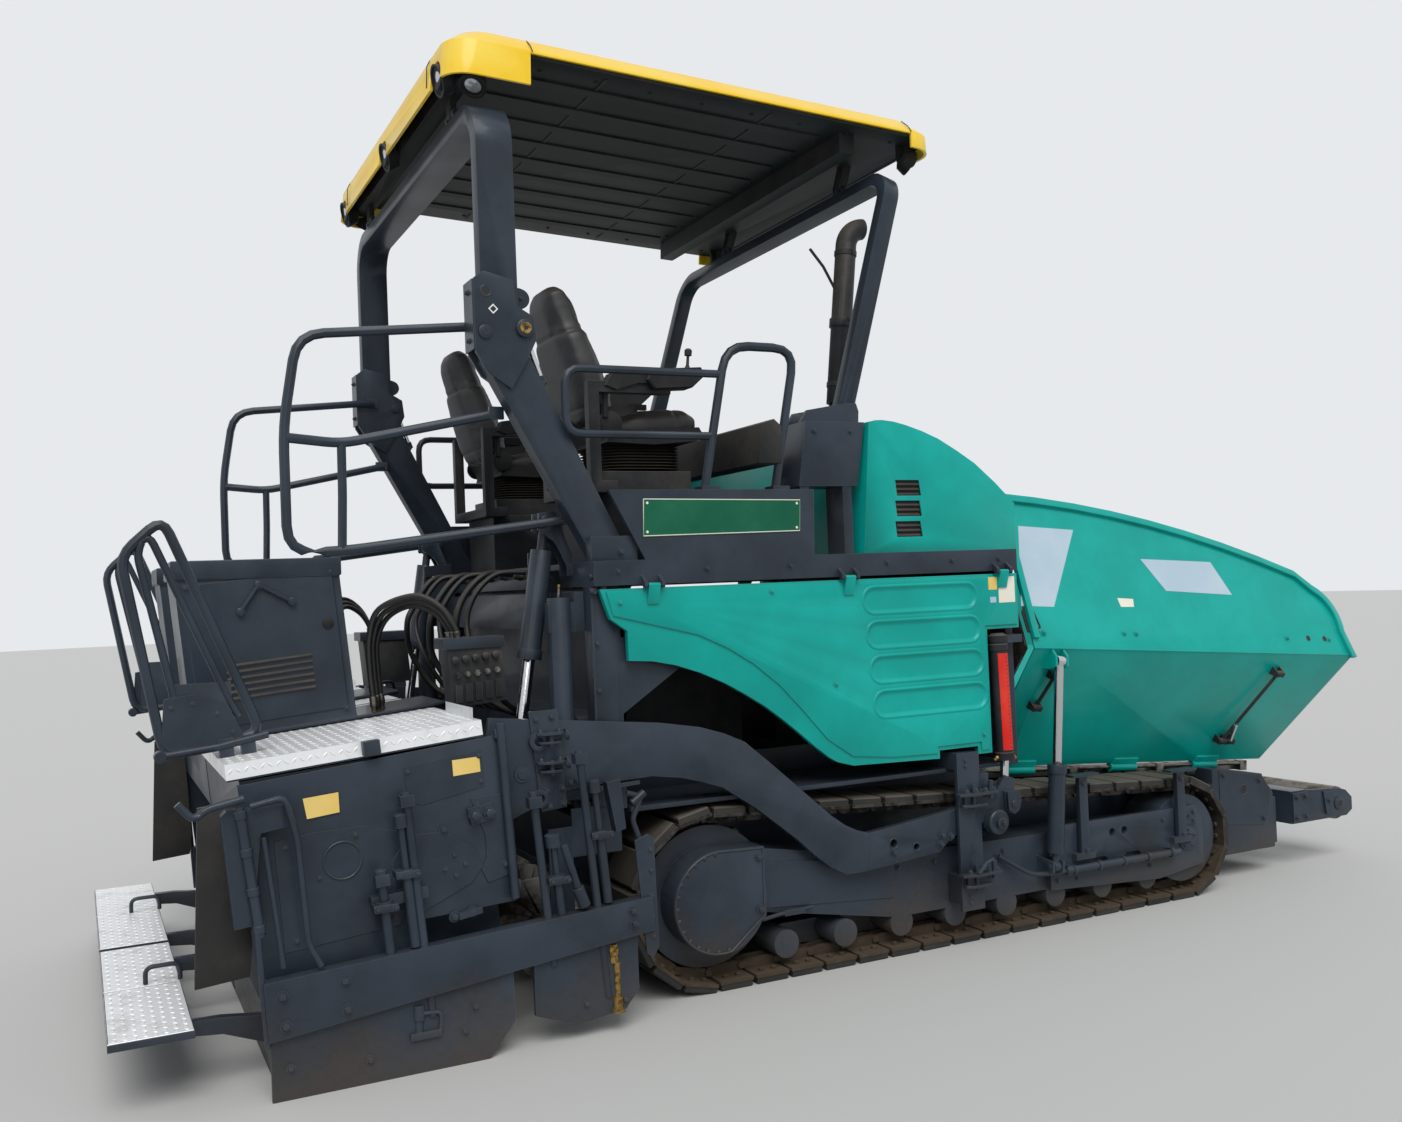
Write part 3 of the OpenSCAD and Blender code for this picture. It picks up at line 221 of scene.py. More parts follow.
scratches, g_in, g_out = new_group("fine_scratches", {"Scale": 30.0, "Amount": 0.5}, ["Mask"])
lengthwise = noise(scratches, g_in.outputs["Scale"], 3.0, 0.5, (1.0, 14.0, 14.0), 0.4)
upright = noise(scratches, g_in.outputs["Scale"], 3.0, 0.5, (16.0, 16.0, 1.0), 0.6)
both = math_node(scratches, "MAXIMUM", ramp(scratches, lengthwise, 0.62, 0.72),
                 ramp(scratches, upright, 0.64, 0.74))
feed(scratches, g_out.inputs["Mask"], times(scratches, both, g_in.outputs["Amount"], True))
print("surface groups ready")

# %% [markdown]
# A painted finish is built once as a function: the colour drifts between fresh and faded, edges rub through
# to primer or steel, and dust and mud lie on top. The shader itself stays in the material.

# %% Paint material


def place_group(tree, group, **values):
    node = tree.nodes.new("ShaderNodeGroup")
    node.node_tree = group
    for label, value in values.items():
        node.inputs[label.replace("_", " ")].default_value = value
    return node


def mix_colour(tree, mask, a, b):
    node = tree.nodes.new("ShaderNodeMix")
    node.data_type = "RGBA"
    # the node has a set of sockets for every type, and its colours are the sixth and the seventh
    for k, value in ((0, mask), (6, a), (7, b)):
        feed(tree, node.inputs[k], value)
    return node.outputs[2]


def soiled(tree, colour, dirty):
    # dust over the colour, and mud over the dust
    colour = mix_colour(tree, dirty.outputs["Dust mask"], colour, DUST)
    return mix_colour(tree, dirty.outputs["Mud mask"], colour, MUD)


def start_material(name):
    material = bpy.data.materials.new(name)
    material.use_nodes = True
    tree = material.node_tree
    return material, tree, tree.nodes["Principled BSDF"]


def bump(tree, shader, height, strength, distance=0.001):
    node = tree.nodes.new("ShaderNodeBump")
    node.inputs["Strength"].default_value = strength
    node.inputs["Distance"].default_value = distance
    feed(tree, node.inputs["Height"], height)
    feed(tree, shader.inputs["Normal"], node.outputs[0])


def painted(name, colour, faded, under, rough, wear, dust, mud, mud_height, coat=0.0, scratch=0.25):
    material, tree, shader = start_material(name)
    dirty = place_group(tree, dirt, Dust=dust, Mud=mud, Mud_height=mud_height)
    worn = place_group(tree, edge_wear, Amount=wear)
    lines = place_group(tree, scratches, Amount=scratch)
    skin = place_group(tree, peel)
    paint = mix_colour(tree, ramp(tree, dirty.outputs["Cloud"], 0.35, 0.7), colour, faded)
    paint = mix_colour(tree, lines.outputs[0], paint, faded)
    paint = mix_colour(tree, worn.outputs[0], paint, under)
    feed(tree, shader.inputs["Base Color"], soiled(tree, paint, dirty))
    shine = plus_share(tree, rough, dirty.outputs["Cloud"], 0.16)
    shine = plus_share(tree, shine, dirty.outputs["Dust mask"], 0.5)
    shine = plus_share(tree, shine, dirty.outputs["Mud mask"], 0.4, True)
    feed(tree, shader.inputs["Roughness"], shine)
    shader.inputs["Specular IOR Level"].default_value = 0.2
    shader.inputs["Coat Weight"].default_value = coat
    shader.inputs["Coat Roughness"].default_value = 0.12
    bump(tree, shader, skin.outputs[0], 0.12)
    return material


teal_paint = painted("teal_paint", TEAL, TEAL_FADED, screen(120, 128, 126), 0.24, 0.3, 0.02, 0.25, 0.5,
                     coat=0.12)
grey_paint = painted("grey_paint", GREY, GREY_DARK, screen(112, 112, 110), 0.3, 0.35, 0.03, 0.5, 0.3,
                     coat=0.12)
yellow_shell = painted("yellow_shell", YELLOW, YELLOW_FADED, screen(200, 170, 60), 0.3, 0.25, 0.22, 0.0, 0.0,
                       coat=0.3, scratch=0.1)
# real black paint, and also the dark discs of painted shade inside holes
black_paint = painted("black_paint", screen(30, 32, 35), screen(46, 48, 51), screen(90, 88, 84), 0.4, 0.5,
                      0.3, 0.4, 0.5)
# real black plastic, and also the painted shade in the wings' latch slots and drain holes
black_plastic = painted("black_plastic", screen(27, 28, 30), screen(38, 39, 41), screen(58, 58, 58), 0.5, 0.3,
                        0.25, 0.0, 0.0)
print("paints", [m.name for m in bpy.data.materials if m.name.endswith("paint")])

# %% [markdown]
# Bare metals: chromed rods are nearly clean, the hopper and the augers are ground bright by hot asphalt and
# stained by it, and the track is cast steel with rubber pads caked in grit.

# %% Metal materials


def metal(name, colour, stain, rough, stain_low, stain_high, scale=9.0, metallic=1.0, dust=0.2, mud=0.0,
          mud_height=0.0):
    material, tree, shader = start_material(name)
    dirty = place_group(tree, dirt, Dust=dust, Mud=mud, Mud_height=mud_height, Scale=scale)
    lines = place_group(tree, scratches, Amount=0.6, Scale=22.0)
    spots = ramp(tree, noise(tree, scale * 1.7, 6.0, 0.62), stain_low, stain_high)
    feed(tree, shader.inputs["Base Color"], soiled(tree, mix_colour(tree, spots, colour, stain), dirty))
    shader.inputs["Metallic"].default_value = metallic
    shine = plus_share(tree, rough, spots, 0.3)
    shine = plus_share(tree, shine, lines.outputs[0], 0.15)
    shine = plus_share(tree, shine, dirty.outputs["Mud mask"], 0.4, True)
    feed(tree, shader.inputs["Roughness"], shine)
    bump(tree, shader, lines.outputs[0], 0.2)
    return material


chrome = metal("chrome", screen(205, 207, 210), screen(150, 148, 142), 0.1, 0.6, 0.8, dust=0.08)
worn_steel = metal("worn_steel", screen(128, 126, 122), screen(52, 46, 42), 0.34, 0.42, 0.62, 5.0, dust=0.3,
                   mud=0.5, mud_height=0.5)
track_steel = metal("track_steel", screen(70, 68, 66), screen(38, 34, 30), 0.5, 0.4, 0.6, 8.0, 0.7, dust=0.5,
                    mud=0.9, mud_height=0.5)
tread_alloy = metal("tread_alloy", screen(236, 238, 240), screen(206, 206, 204), 0.36, 0.5, 0.75, 6.0, 0.3,
                    dust=0.05)
print("metals ready")

# %% [markdown]
# Upholstery, rubber and glass finish the list. The seats are grained vinyl, so a Voronoi cell pattern makes
# the leather grain as a bump.

# %% Soft and clear materials


def rubbery(name, colour, dusty, rough, grain_scale, strength, dust):
    material, tree, shader = start_material(name)
    dirty = place_group(tree, dirt, Dust=dust, Mud=0.0)
    cells = tree.nodes.new("ShaderNodeTexVoronoi")
    cells.inputs["Scale"].default_value = grain_scale
    feed(tree, cells.inputs["Vector"], tree.nodes.new("ShaderNodeTexCoord").outputs["Object"])
    tint = mix_colour(tree, ramp(tree, dirty.outputs["Cloud"], 0.3, 0.75), colour, dusty)
    feed(tree, shader.inputs["Base Color"], mix_colour(tree, dirty.outputs["Dust mask"], tint, DUST))
    feed(tree, shader.inputs["Roughness"], plus_share(tree, rough, dirty.outputs["Cloud"], 0.2, True))
    bump(tree, shader, cells.outputs["Distance"], strength, 0.0006)
    return material


seat_vinyl = rubbery("seat_vinyl", screen(26, 27, 29), screen(40, 41, 44), 0.42, 420.0, 0.35, 0.15)
rubber = rubbery("rubber", screen(22, 22, 23), screen(36, 35, 34), 0.62, 260.0, 0.25, 0.3)
hose_rubber = rubbery("hose_rubber", screen(18, 18, 19), screen(30, 30, 31), 0.4, 500.0, 0.3, 0.15)
belt_webbing = rubbery("belt_webbing", screen(20, 20, 22), screen(34, 34, 36), 0.7, 900.0, 0.6, 0.1)
sign_yellow = painted("sign_yellow", screen(222, 188, 96), screen(232, 204, 128), screen(190, 170, 120), 0.45,
                      0.5, 0.25, 0.2, 0.4)
sign_cream = painted("sign_cream", screen(226, 222, 206), screen(236, 233, 222), screen(190, 186, 172), 0.45,
                     0.4, 0.2, 0.0, 0.0)
decal_grey = painted("decal_grey", screen(168, 190, 206), screen(180, 200, 213), screen(120, 170, 170), 0.4,
                     0.5, 0.2, 0.0, 0.0)
plate_green = painted("plate_green", screen(8, 84, 60), screen(14, 96, 70), screen(60, 100, 84), 0.4, 0.3,
                      0.15, 0.0, 0.0)
signal_red = painted("signal_red", screen(206, 34, 26), screen(222, 60, 46), screen(120, 40, 36), 0.34, 0.4,
                     0.2, 0.2, 0.4)
worn_brass = metal("worn_brass", screen(176, 142, 76), screen(96, 80, 52), 0.35, 0.4, 0.6, 30.0, dust=0.3,
                   mud=0.4, mud_height=0.4)
lamp_lens = metal("lamp_lens", screen(196, 200, 204), screen(120, 122, 124), 0.12, 0.55, 0.8, 60.0, 0.6,
                  dust=0.2)
print("soft materials ready")

# %% [markdown]
# The frame's own nodes are tessellated solids with hard corners. Real plate has a small radius on every edge,
# which catches the light, so each node is welded, its flat faces are joined again and a narrow bevel is
# added. These are modifiers, so that the frame's own mesh stays as it was packed.

# %% Dress a frame node


EDGE_RADIUS = 0.003
WELD_DISTANCE = 0.00002


def dress(node, material):
    node.data.materials.clear()
    node.data.materials.append(material)
    for polygon in node.data.polygons:
        polygon.use_smooth = True
    weld = node.modifiers.new("weld", "WELD")
    weld.merge_threshold = WELD_DISTANCE
    flat = node.modifiers.new("flat_faces", "DECIMATE")
    flat.decimate_type = "DISSOLVE"
    flat.angle_limit = math.radians(0.6)
    rim = node.modifiers.new("edge_radius", "BEVEL")
    rim.width = EDGE_RADIUS
    rim.segments = 2
    rim.limit_method = "ANGLE"
    rim.angle_limit = math.radians(32)
    rim.use_clamp_overlap = True
    rim.harden_normals = True


FINISH = {"chassis": grey_paint, "body_frame": grey_paint, "corner_posts": grey_paint,
          "undercarriage": grey_paint, "track": track_steel, "engine_block": black_paint, "deck": grey_paint,
          "hood": teal_paint, "seat_bases": black_paint, "seat_pads": seat_vinyl, "console": black_plastic,
          "guard_rails": grey_paint, "roof_struts": grey_paint, "hopper_floor": worn_steel,
          "conveyor": worn_steel, "tow_guides": grey_paint, "wing_barrel": grey_paint, "wing_rod": chrome,
          "wing": teal_paint, "side_panel": teal_paint, "rear_arch": grey_paint, "roof_shell": yellow_shell,
          "roof_lining": black_plastic, "front_arch": grey_paint, "exhaust_stack": black_paint,
          "tow_arms": grey_paint, "screed_frame": grey_paint, "telescope": chrome, "lift_barrel": grey_paint,
          "lift_rod": chrome, "extension": grey_paint, "end_gate": grey_paint, "walkway": grey_paint,
          "cabinet": grey_paint, "auger": worn_steel, "push_bar": grey_paint, "push_roller": worn_steel,}
for name, node in nodes.items():
    dress(node, FINISH[name.removesuffix("_right").removesuffix("_left")])


def refinish(name, material, chosen):
    # gives the faces whose middle passes the test a finish of their own
    node = nodes[name]
    node.data.materials.append(material)
    for polygon in node.data.polygons:
        if chosen(polygon.center):
            polygon.material_index = len(node.data.materials) - 1


def in_screed(point, u_low, u_high, y_low, y_high, v_low, v_high):
    flat = (point - SCREED_ORIGIN) / MM
    c, s = math.cos(SCREED_TILT), math.sin(SCREED_TILT)
    u, v = flat.x * c + flat.z * s, -flat.x * s + flat.z * c
    return u_low < u < u_high and y_low < abs(flat.y) < y_high and v_low < v < v_high


for side in ("right", "left"):
    refinish("walkway_" + side, rubber, lambda p: in_screed(p, -150, 90, 1235, 1265, 390, 1015))
refinish("screed_frame", black_paint, lambda p: in_screed(p, 960, 1195, 755, 900, 1155, 1405))
print("dressed", len(nodes), "nodes")

# %% [markdown]
# The small pieces share a few ways of making a shape. A builder collects forms in one mesh, such as all the
# bolts of one body, and then becomes one object that rides on that body. Rods, hexagons and turned shapes are
# all rings of points joined by faces, so one ring function serves them.

# %% Mesh builder


def across(direction):
    # two directions at right angles to the given one
    axis = Vector(direction).normalized()
    other = Vector((0, 0, 1)) if abs(axis.z) < 0.9 else Vector((1, 0, 0))
    first = axis.cross(other).normalized()
    return first, axis.cross(first)


def round_about(centre, u, v, radius, count, turn=0.0):
    # points of a circle in the plane of u and v
    angles = [turn + math.tau * k / count for k in range(count)]
    return [centre + (u * math.cos(a) + v * math.sin(a)) * radius for a in angles]


class Builder:
    def __init__(self):
        self.bm = bmesh.new()

    def rings(self, rings, caps=True, finish=0):
        made = [[self.bm.verts.new(p) for p in ring] for ring in rings]
        count = len(made[0])
        for low, high in zip(made, made[1:]):
            for k in range(count):
                corners = (low[k], low[(k + 1) % count], high[(k + 1) % count], high[k])
                self.bm.faces.new(corners).material_index = finish
        if caps:
            self.bm.faces.new(made[0][::-1]).material_index = finish
            self.bm.faces.new(made[-1]).material_index = finish

    def turned(self, start, axis, profile, count=20, finish=0, turn=0.0):
        # profile holds pairs of height along the axis and radius, in metres
        axis = Vector(axis).normalized()
        u, v = across(axis)
        rings = [round_about(Vector(start) + axis * h, u, v, r, count, turn) for h, r in profile]
        self.rings(rings, finish=finish)

    def boss(self, seat, axis, radius, height, count=24, finish=0, rim=0.002, drop=0.003):
        # a short round with its face edge turned off
        profile = [(0, radius), (height, radius), (height + rim, radius - drop)]
        self.turned(seat, axis, profile, count, finish)

    def rod(self, a, b, radius, count=16, finish=0):
        a, b = Vector(a), Vector(b)
        length, rim = (b - a).length, min(radius * 0.15, 0.002)
        profile = [(0, radius - rim), (rim, radius), (length - rim, radius), (length, radius - rim)]
        self.turned(a, b - a, profile, count, finish)

    def prism(self, outline, depth, finish=0, rim=0.0015):
        # outline is a closed list of points in one plane, depth the vector to its far face
        points = [Vector(p) for p in outline]
        depth = Vector(depth)
        middle = sum(points, Vector()) / len(points)
        inner = [p + (middle - p).normalized() * rim for p in points]
        step = depth.normalized() * rim
        near, far = [p + step for p in points], [p + depth - step for p in points]
        self.rings([inner, near, far, [p + depth for p in inner]], finish=finish)

    def plate(self, s, y, outline, thick, finish=0, rim=0.0015, place=at):
        # a plate on the side face at y that grows outwards, its outline drawn in the side view
        self.prism([place(a, s * y, b) for a, b in outline], (0, s * thick, 0), finish, rim)

    def box(self, low, high, finish=0, rim=0.0015):
        low, high = Vector(low), Vector(high)
        low, high = Vector(map(min, low, high)), Vector(map(max, low, high))
        corners = [(low.x, low.y), (high.x, low.y), (high.x, high.y), (low.x, high.y)]
        self.prism([Vector((x, y, low.z)) for x, y in corners], (0, 0, high.z - low.z), finish, rim)

    def bolt(self, seat, axis, size=0.012, finish=0):
        # washer, chamfered hexagon and the end of the thread
        axis, seat = Vector(axis).normalized(), Vector(seat)
        washer = [(0, size * 1.5), (size * 0.25, size * 1.5), (size * 0.25, size * 1.0)]
        head = [(0, size), (size * 0.75, size), (size * 0.95, size * 0.84)]
        self.turned(seat, axis, washer, 16, finish)
        self.turned(seat + axis * size * 0.25, axis, head, 6, finish, turn=size * 40)
        self.turned(seat + axis * size * 1.1, axis, [(0, size * 0.5), (size * 0.5, size * 0.45)], 10, finish)

    def bolts(self, s, y, spots, size, finish=0, place=at):
        # bolts on the side face at y
        for a, b in spots:
            self.bolt(place(a, s * y, b), (0, s, 0), size, finish)

    def tube(self, path, radius, count=10, finish=0):
        path = [Vector(p) for p in path]
        heading = (path[1] - path[0]).normalized()
        u, v = across(heading)
        rings = []
        for k, p in enumerate(path):
            ahead = (path[min(k + 1, len(path) - 1)] - path[max(k - 1, 0)]).normalized()
            turn = heading.rotation_difference(ahead)
            u, v, heading = turn @ u, turn @ v, ahead
            rings.append(round_about(p, u, v, radius, count))
        self.rings(rings, finish=finish)

    def piece(self, name, materials, body, smooth_angle=40, slot=None):
        bmesh.ops.recalc_face_normals(self.bm, faces=self.bm.faces)
        mesh = bpy.data.meshes.new(name)
        self.bm.to_mesh(mesh)
        self.bm.free()
        for material in materials if isinstance(materials, (list, tuple)) else [materials]:
            mesh.materials.append(material)
        mesh.shade_smooth()
        mesh.set_sharp_from_angle(angle=math.radians(smooth_angle))
        made = bpy.data.objects.new(name, mesh)
        bpy.context.scene.collection.objects.link(made)
        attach(made, body)
        print(name, len(mesh.polygons), "faces on", body)
        return made


def smooth_path(points, steps=6):
    # Catmull-Rom curve through the points
    points = [Vector(p) for p in points]
    full = [points[0] * 2 - points[1]] + points + [points[-1] * 2 - points[-2]]
    out = []
    for a, b, c, d in zip(full, full[1:], full[2:], full[3:]):
        for k in range(steps):
            t = k / steps
            bend, twist = 2 * a - 5 * b + 4 * c - d, 3 * b - a - 3 * c + d
            out.append(0.5 * (2 * b + (c - a) * t + bend * t * t + twist * t ** 3))
    return out + [points[-1]]


def cornered_path(points, radius):
    # straight runs with each corner rounded
    steps = 5
    points = [Vector(p) for p in points]
    out = [points[0]]
    for before, corner, after in zip(points, points[1:], points[2:]):
        a = corner + (before - corner).normalized() * radius
        b = corner + (after - corner).normalized() * radius
        for t in (k / steps for k in range(steps + 1)):
            out.append(a * (1 - t) ** 2 + corner * 2 * t * (1 - t) + b * t * t)
    return out + [points[-1]]


def arc(x, z, radius, first, last, count):
    # points of a round stretch in the side view, between two angles in degrees
    angles = [math.radians(first + (last - first) * k / (count - 1)) for k in range(count)]
    return [(x + radius * math.cos(a), z + radius * math.sin(a)) for a in angles]


SIDES = ((-1, "right"), (1, "left"))
print("mesh builder ready")

# %% [markdown]
# A crawler track is a chain of forged links with a steel shoe and a rubber pad bolted on each pitch. The
# frame has it as one toothed loop, so here one shoe is built in detail and repeated along the same loop.

# %% Track
SPROCKET, SPROCKET_R = (-1.195, 0.384), 0.384
IDLER, IDLER_R = (1.505, 0.307), 0.307
SHOES = 44
SHOE_IN, SHOE_WIDE = 0.891, 0.305
PAD_THICK, SHOE_FOOT = 0.028, 0.042
span_x = IDLER[0] - SPROCKET[0]
top_slope = 2 * math.atan((SPROCKET_R - IDLER_R) / span_x)
front_arc = IDLER_R * (math.pi - top_slope)
rear_arc = SPROCKET_R * (math.pi + top_slope)
loop_length = 2 * span_x + front_arc + rear_arc
pitch = loop_length / SHOES


def ray(a):
    return Vector((math.cos(a), 0, math.sin(a)))


def on_loop(s):
    # place on the ground line of the loop and the direction out of it, in the XZ plane
    front, rear = Vector((IDLER[0], 0, IDLER_R)), Vector((SPROCKET[0], 0, SPROCKET_R))
    s %= loop_length
    if s < span_x:
        return Vector((SPROCKET[0] + s, 0, 0)), Vector((0, 0, -1))
    s -= span_x
    if s < front_arc:
        out = ray(s / IDLER_R - math.pi / 2)
        return front + out * IDLER_R, out
    s -= front_arc
    a = math.pi / 2 - top_slope
    if s < span_x:
        out = ray(a)
        return front + out * IDLER_R + Vector((-math.cos(top_slope), 0, math.sin(top_slope))) * s, out
    out = ray(a + (s - span_x) / SPROCKET_R)
    return rear + out * SPROCKET_R, out


def add_shoe(build, s, side):
    place, out = on_loop(s + pitch * 0.5)
    along, outwards = Vector((-out.z, 0, out.x)), Vector((0, side, 0))
    origin = Vector((SHIFT, 0, 0)) + place + outwards * SHOE_IN

    def spot(u, y, depth):
        return origin + along * u + outwards * y - out * depth

    def slab(depth, half, near, far):
        return [spot(u, y, depth) for u, y in ((-half, near), (half, near), (half, far), (-half, far))]

    half = pitch * 0.43
    # rubber pad with chamfered edges, on a steel shoe plate
    build.rings([slab(depth, half - trim, 0.004 + trim, SHOE_WIDE - 0.004 - trim)
                 for depth, trim in ((0.0, 0.006), (0.006, 0.0), (PAD_THICK, 0.0))], finish=1)
    build.rings([slab(depth, half + 0.004, 0.0, SHOE_WIDE) for depth in (PAD_THICK, SHOE_FOOT)])
    # chain links, their bushing and the four shoe bolts
    link = [(-half - 0.012, 0.046), (-half + 0.02, 0.042), (half - 0.02, 0.042), (half + 0.012, 0.046),
            (half + 0.012, 0.075), (half - 0.03, 0.082), (-half + 0.03, 0.082), (-half - 0.012, 0.075)]
    for y in (0.115, 0.175):
        build.rings([[spot(u, y + w, d) for u, d in link] for w in (0, 0.022)])
    build.rod(spot(half, 0.105, 0.064), spot(half, 0.208, 0.064), 0.016, 10)
    for u in (-0.03, 0.03):
        for y in (0.05, 0.255):
            build.boss(spot(u, y, SHOE_FOOT), out * -1, 0.013, 0.010, 6)


for s, name in SIDES:
    track = Builder()
    for k in range(SHOES):
        add_shoe(track, k * pitch, s)
    piece = track.piece("crawler_track_" + name, [track_steel, rubber], "machine", 35, "track_steel")
    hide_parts("track_" + name)

# %% [markdown]
# The teeth of the sprocket show between the track frame and the chain.

# %% Sprocket teeth
TEETH = 20
TOOTH = [(-0.030, 0.270), (0.030, 0.270), (0.014, 0.312), (-0.014, 0.312)]
for s, name in SIDES:
    wheel = Builder()
    for k in range(TEETH):
        out = ray(math.tau * k / TEETH)
        along = Vector((-out.z, 0, out.x))
        faces = [at(SPROCKET[0] / MM, s * y, SPROCKET[1] / MM) for y in (1015, 1055)]
        wheel.rings([[hub + along * u + out * r for u, r in TOOTH] for hub in faces])
    wheel.piece("sprocket_teeth_" + name, track_steel, "machine", 35)

# %% [markdown]
# The walkways over the screed are aluminium tread plate: a thin sheet with small raised lozenges that lie
# turn and turn about. A bump would lose them at the edge of the plate, so each lozenge is a real low pyramid
# on the sheet.

# %% Tread plate
SCREED_U = (at_screed(1000, 0, 0) - at_screed(0, 0, 0)).normalized()
SCREED_V = (at_screed(0, 0, 1000) - at_screed(0, 0, 0)).normalized()


def add_lozenges(build, corner, along, sideways, length, width, pitch=0.036, size=(0.013, 0.0042),
                 height=0.0018):
    along, sideways = Vector(along), Vector(sideways)
    up = along.cross(sideways).normalized()
    if up.z < -0.5:
        up = -up
    rows, columns = int(length / pitch), int(width / pitch)
    for i in range(rows):
        for j in range(columns):
            middle = corner + along * (i + 0.5) * length / rows + sideways * (j + 0.5) * width / columns
            one, two = (along + sideways).normalized(), (along - sideways).normalized()
            if (i + j) % 2:
                one, two = two, one
            long, short = one * size[0], two * size[1]
            points = [middle + long, middle + short, middle - long, middle - short]
            low = [build.bm.verts.new(p) for p in points]
            top = [build.bm.verts.new(middle + (p - middle) * 0.55 + up * height) for p in points]
            for k in range(4):
                build.bm.faces.new((low[k], low[(k + 1) % 4], top[(k + 1) % 4], top[k]))
            build.bm.faces.new(top)


for s, name in SIDES:
    tread = Builder()
    sheet = ((38, 20), (947, 20), (947, 1322), (38, 1322))
    tread.rings([[at_screed(u, s * y, v) for u, y in sheet] for v in (1148.0, 1149.6)])
    add_lozenges(tread, at_screed(44, s * 24, 1149.6), SCREED_U, (0, s, 0), 0.897, 1.292)
    # folded outer and rear edges with their own lozenges
    fold = ((38, 1094), (947, 1094), (947, 1149.6), (38, 1149.6))
    tread.rings([[at_screed(u, y * s, v) for u, v in fold] for y in (1320.4, 1322.4)])
    add_lozenges(tread, at_screed(40, s * 1322.4, 1098), SCREED_U, SCREED_V, 0.905, 0.05, 0.026,
                 (0.014, 0.005))
    fold = ((20, 1094), (1322, 1094), (1322, 1149.6), (20, 1149.6))
    tread.rings([[at_screed(u, y * s, v) for y, v in fold] for u in (37.6, 39.6)])
    # upturned kicker near the lift rod
    tread.box(at_screed(925, s * 905, 1149), at_screed(929, s * 1290, 1196))
    tread.piece("tread_plate_" + name, tread_alloy, "extension_" + name, 30, "bare_steel")

# %% [markdown]
# The two folding steps behind the screed are galvanised plates with a punched pattern and a grab bow. The
# hand rails are double: a second tube runs inside each bow, with a gusset plate between the legs.

# %% Steps and hand rails
PIPE_Y, ROD_Y, HANDLE_Y = 1392, 1400, 1408

for s, name in SIDES:
    steps = Builder()
    for y0, y1 in ((24, 655), (665, 1296)):
        steps.box(at(-3499, s * y0, 262), at(-3233, s * y1, 265.5))
        steps.box(at(-3499.4, s * y0, 240), at(-3496, s * y1, 265.5))
        add_lozenges(steps, at(-3494, s * (y0 + 5), 265.5), (1, 0, 0), (0, s, 0), 0.256, (y1 - y0 - 10) * MM,
                     0.03, (0.011, 0.0045), 0.0022)
    steps.piece("step_treads_" + name, tread_alloy, "extension_" + name, 30, "bare_steel")

    rails = Builder()
    # inner bow, grab bow of the step, lower rail, then the end plate's bent pull handle and the rod beside it
    inner = [(-3235, 1300), (-3358, 1900), (-3318, 1962), (-3060, 1337), (-3040, 1300)]
    grab = [(-3230, 268), (-3230, 330), (-3352, 330), (-3352, 268)]
    handle = [(-3272, 1043), (-3222, 983), (-3186, 1016), (-3063, 1039)]
    bent_rod = [(-3043, 1010), (-2930, 1030), (-2893, 879), (-2867, 518), (-2828, 440)]
    bows = ((1100, inner, 0.05, 0.014, 12), (640, grab, 0.03, 0.009, 8), (HANDLE_Y, handle, 0.03, 0.013, 10),
            (HANDLE_Y, bent_rod, 0.03, 0.011, 10))
    for y, path, bend, radius, count in bows:
        rails.tube(cornered_path([at(x, s * y, z) for x, z in path], bend), radius, count)
    rails.tube([at(x, s * 1112, z) for x, z in ((-3302, 1172), (-3110, 1190), (-2940, 1222))], 0.015, 12)
    rails.plate(s, 1116, ((-3300, 1182), (-3285, 1372), (-3170, 1385), (-3072, 1338), (-3020, 1216)), -0.009)
    rails.bolts(s, 1109, ((-3262, 1340), (-3190, 1350), (-3110, 1310), (-3060, 1240)), 0.009)
    rails.rod(at(-3302, s * 1080, 1172), at(-3302, s * 1136, 1172), 0.021)
    # slim straight rods below the handle
    for (x0, z0), (x1, z1), r in (((-3032, 590), (-3010, 190), 0.011), ((-3002, 900), (-2950, 450), 0.009)):
        rails.rod(at(x0, s * ROD_Y, z0), at(x1, s * ROD_Y, z1), r, 10)
    # hinge pipe on the rear bracket
    a, b = at(-3077, s * PIPE_Y, 1010), at(-3021, s * PIPE_Y, 565)
    rails.rod(a, b, 0.017, 14)
    for t in (0.06, 0.35, 0.65, 0.94):
        rails.rod(a.lerp(b, t - 0.03), a.lerp(b, t + 0.03), 0.021, 14)
    rails.piece("hand_rails_" + name, grey_paint, "extension_" + name, 40, "grey_paint")

# %% [markdown]
# The end plates carry patches, covers and rows of bolts. They stand a few millimetres proud, so their edges
# catch the light and draw the outlines that the eye reads as welded and bolted plate.

# %% End plate details
END_FACE = 1320
PROUD = 5

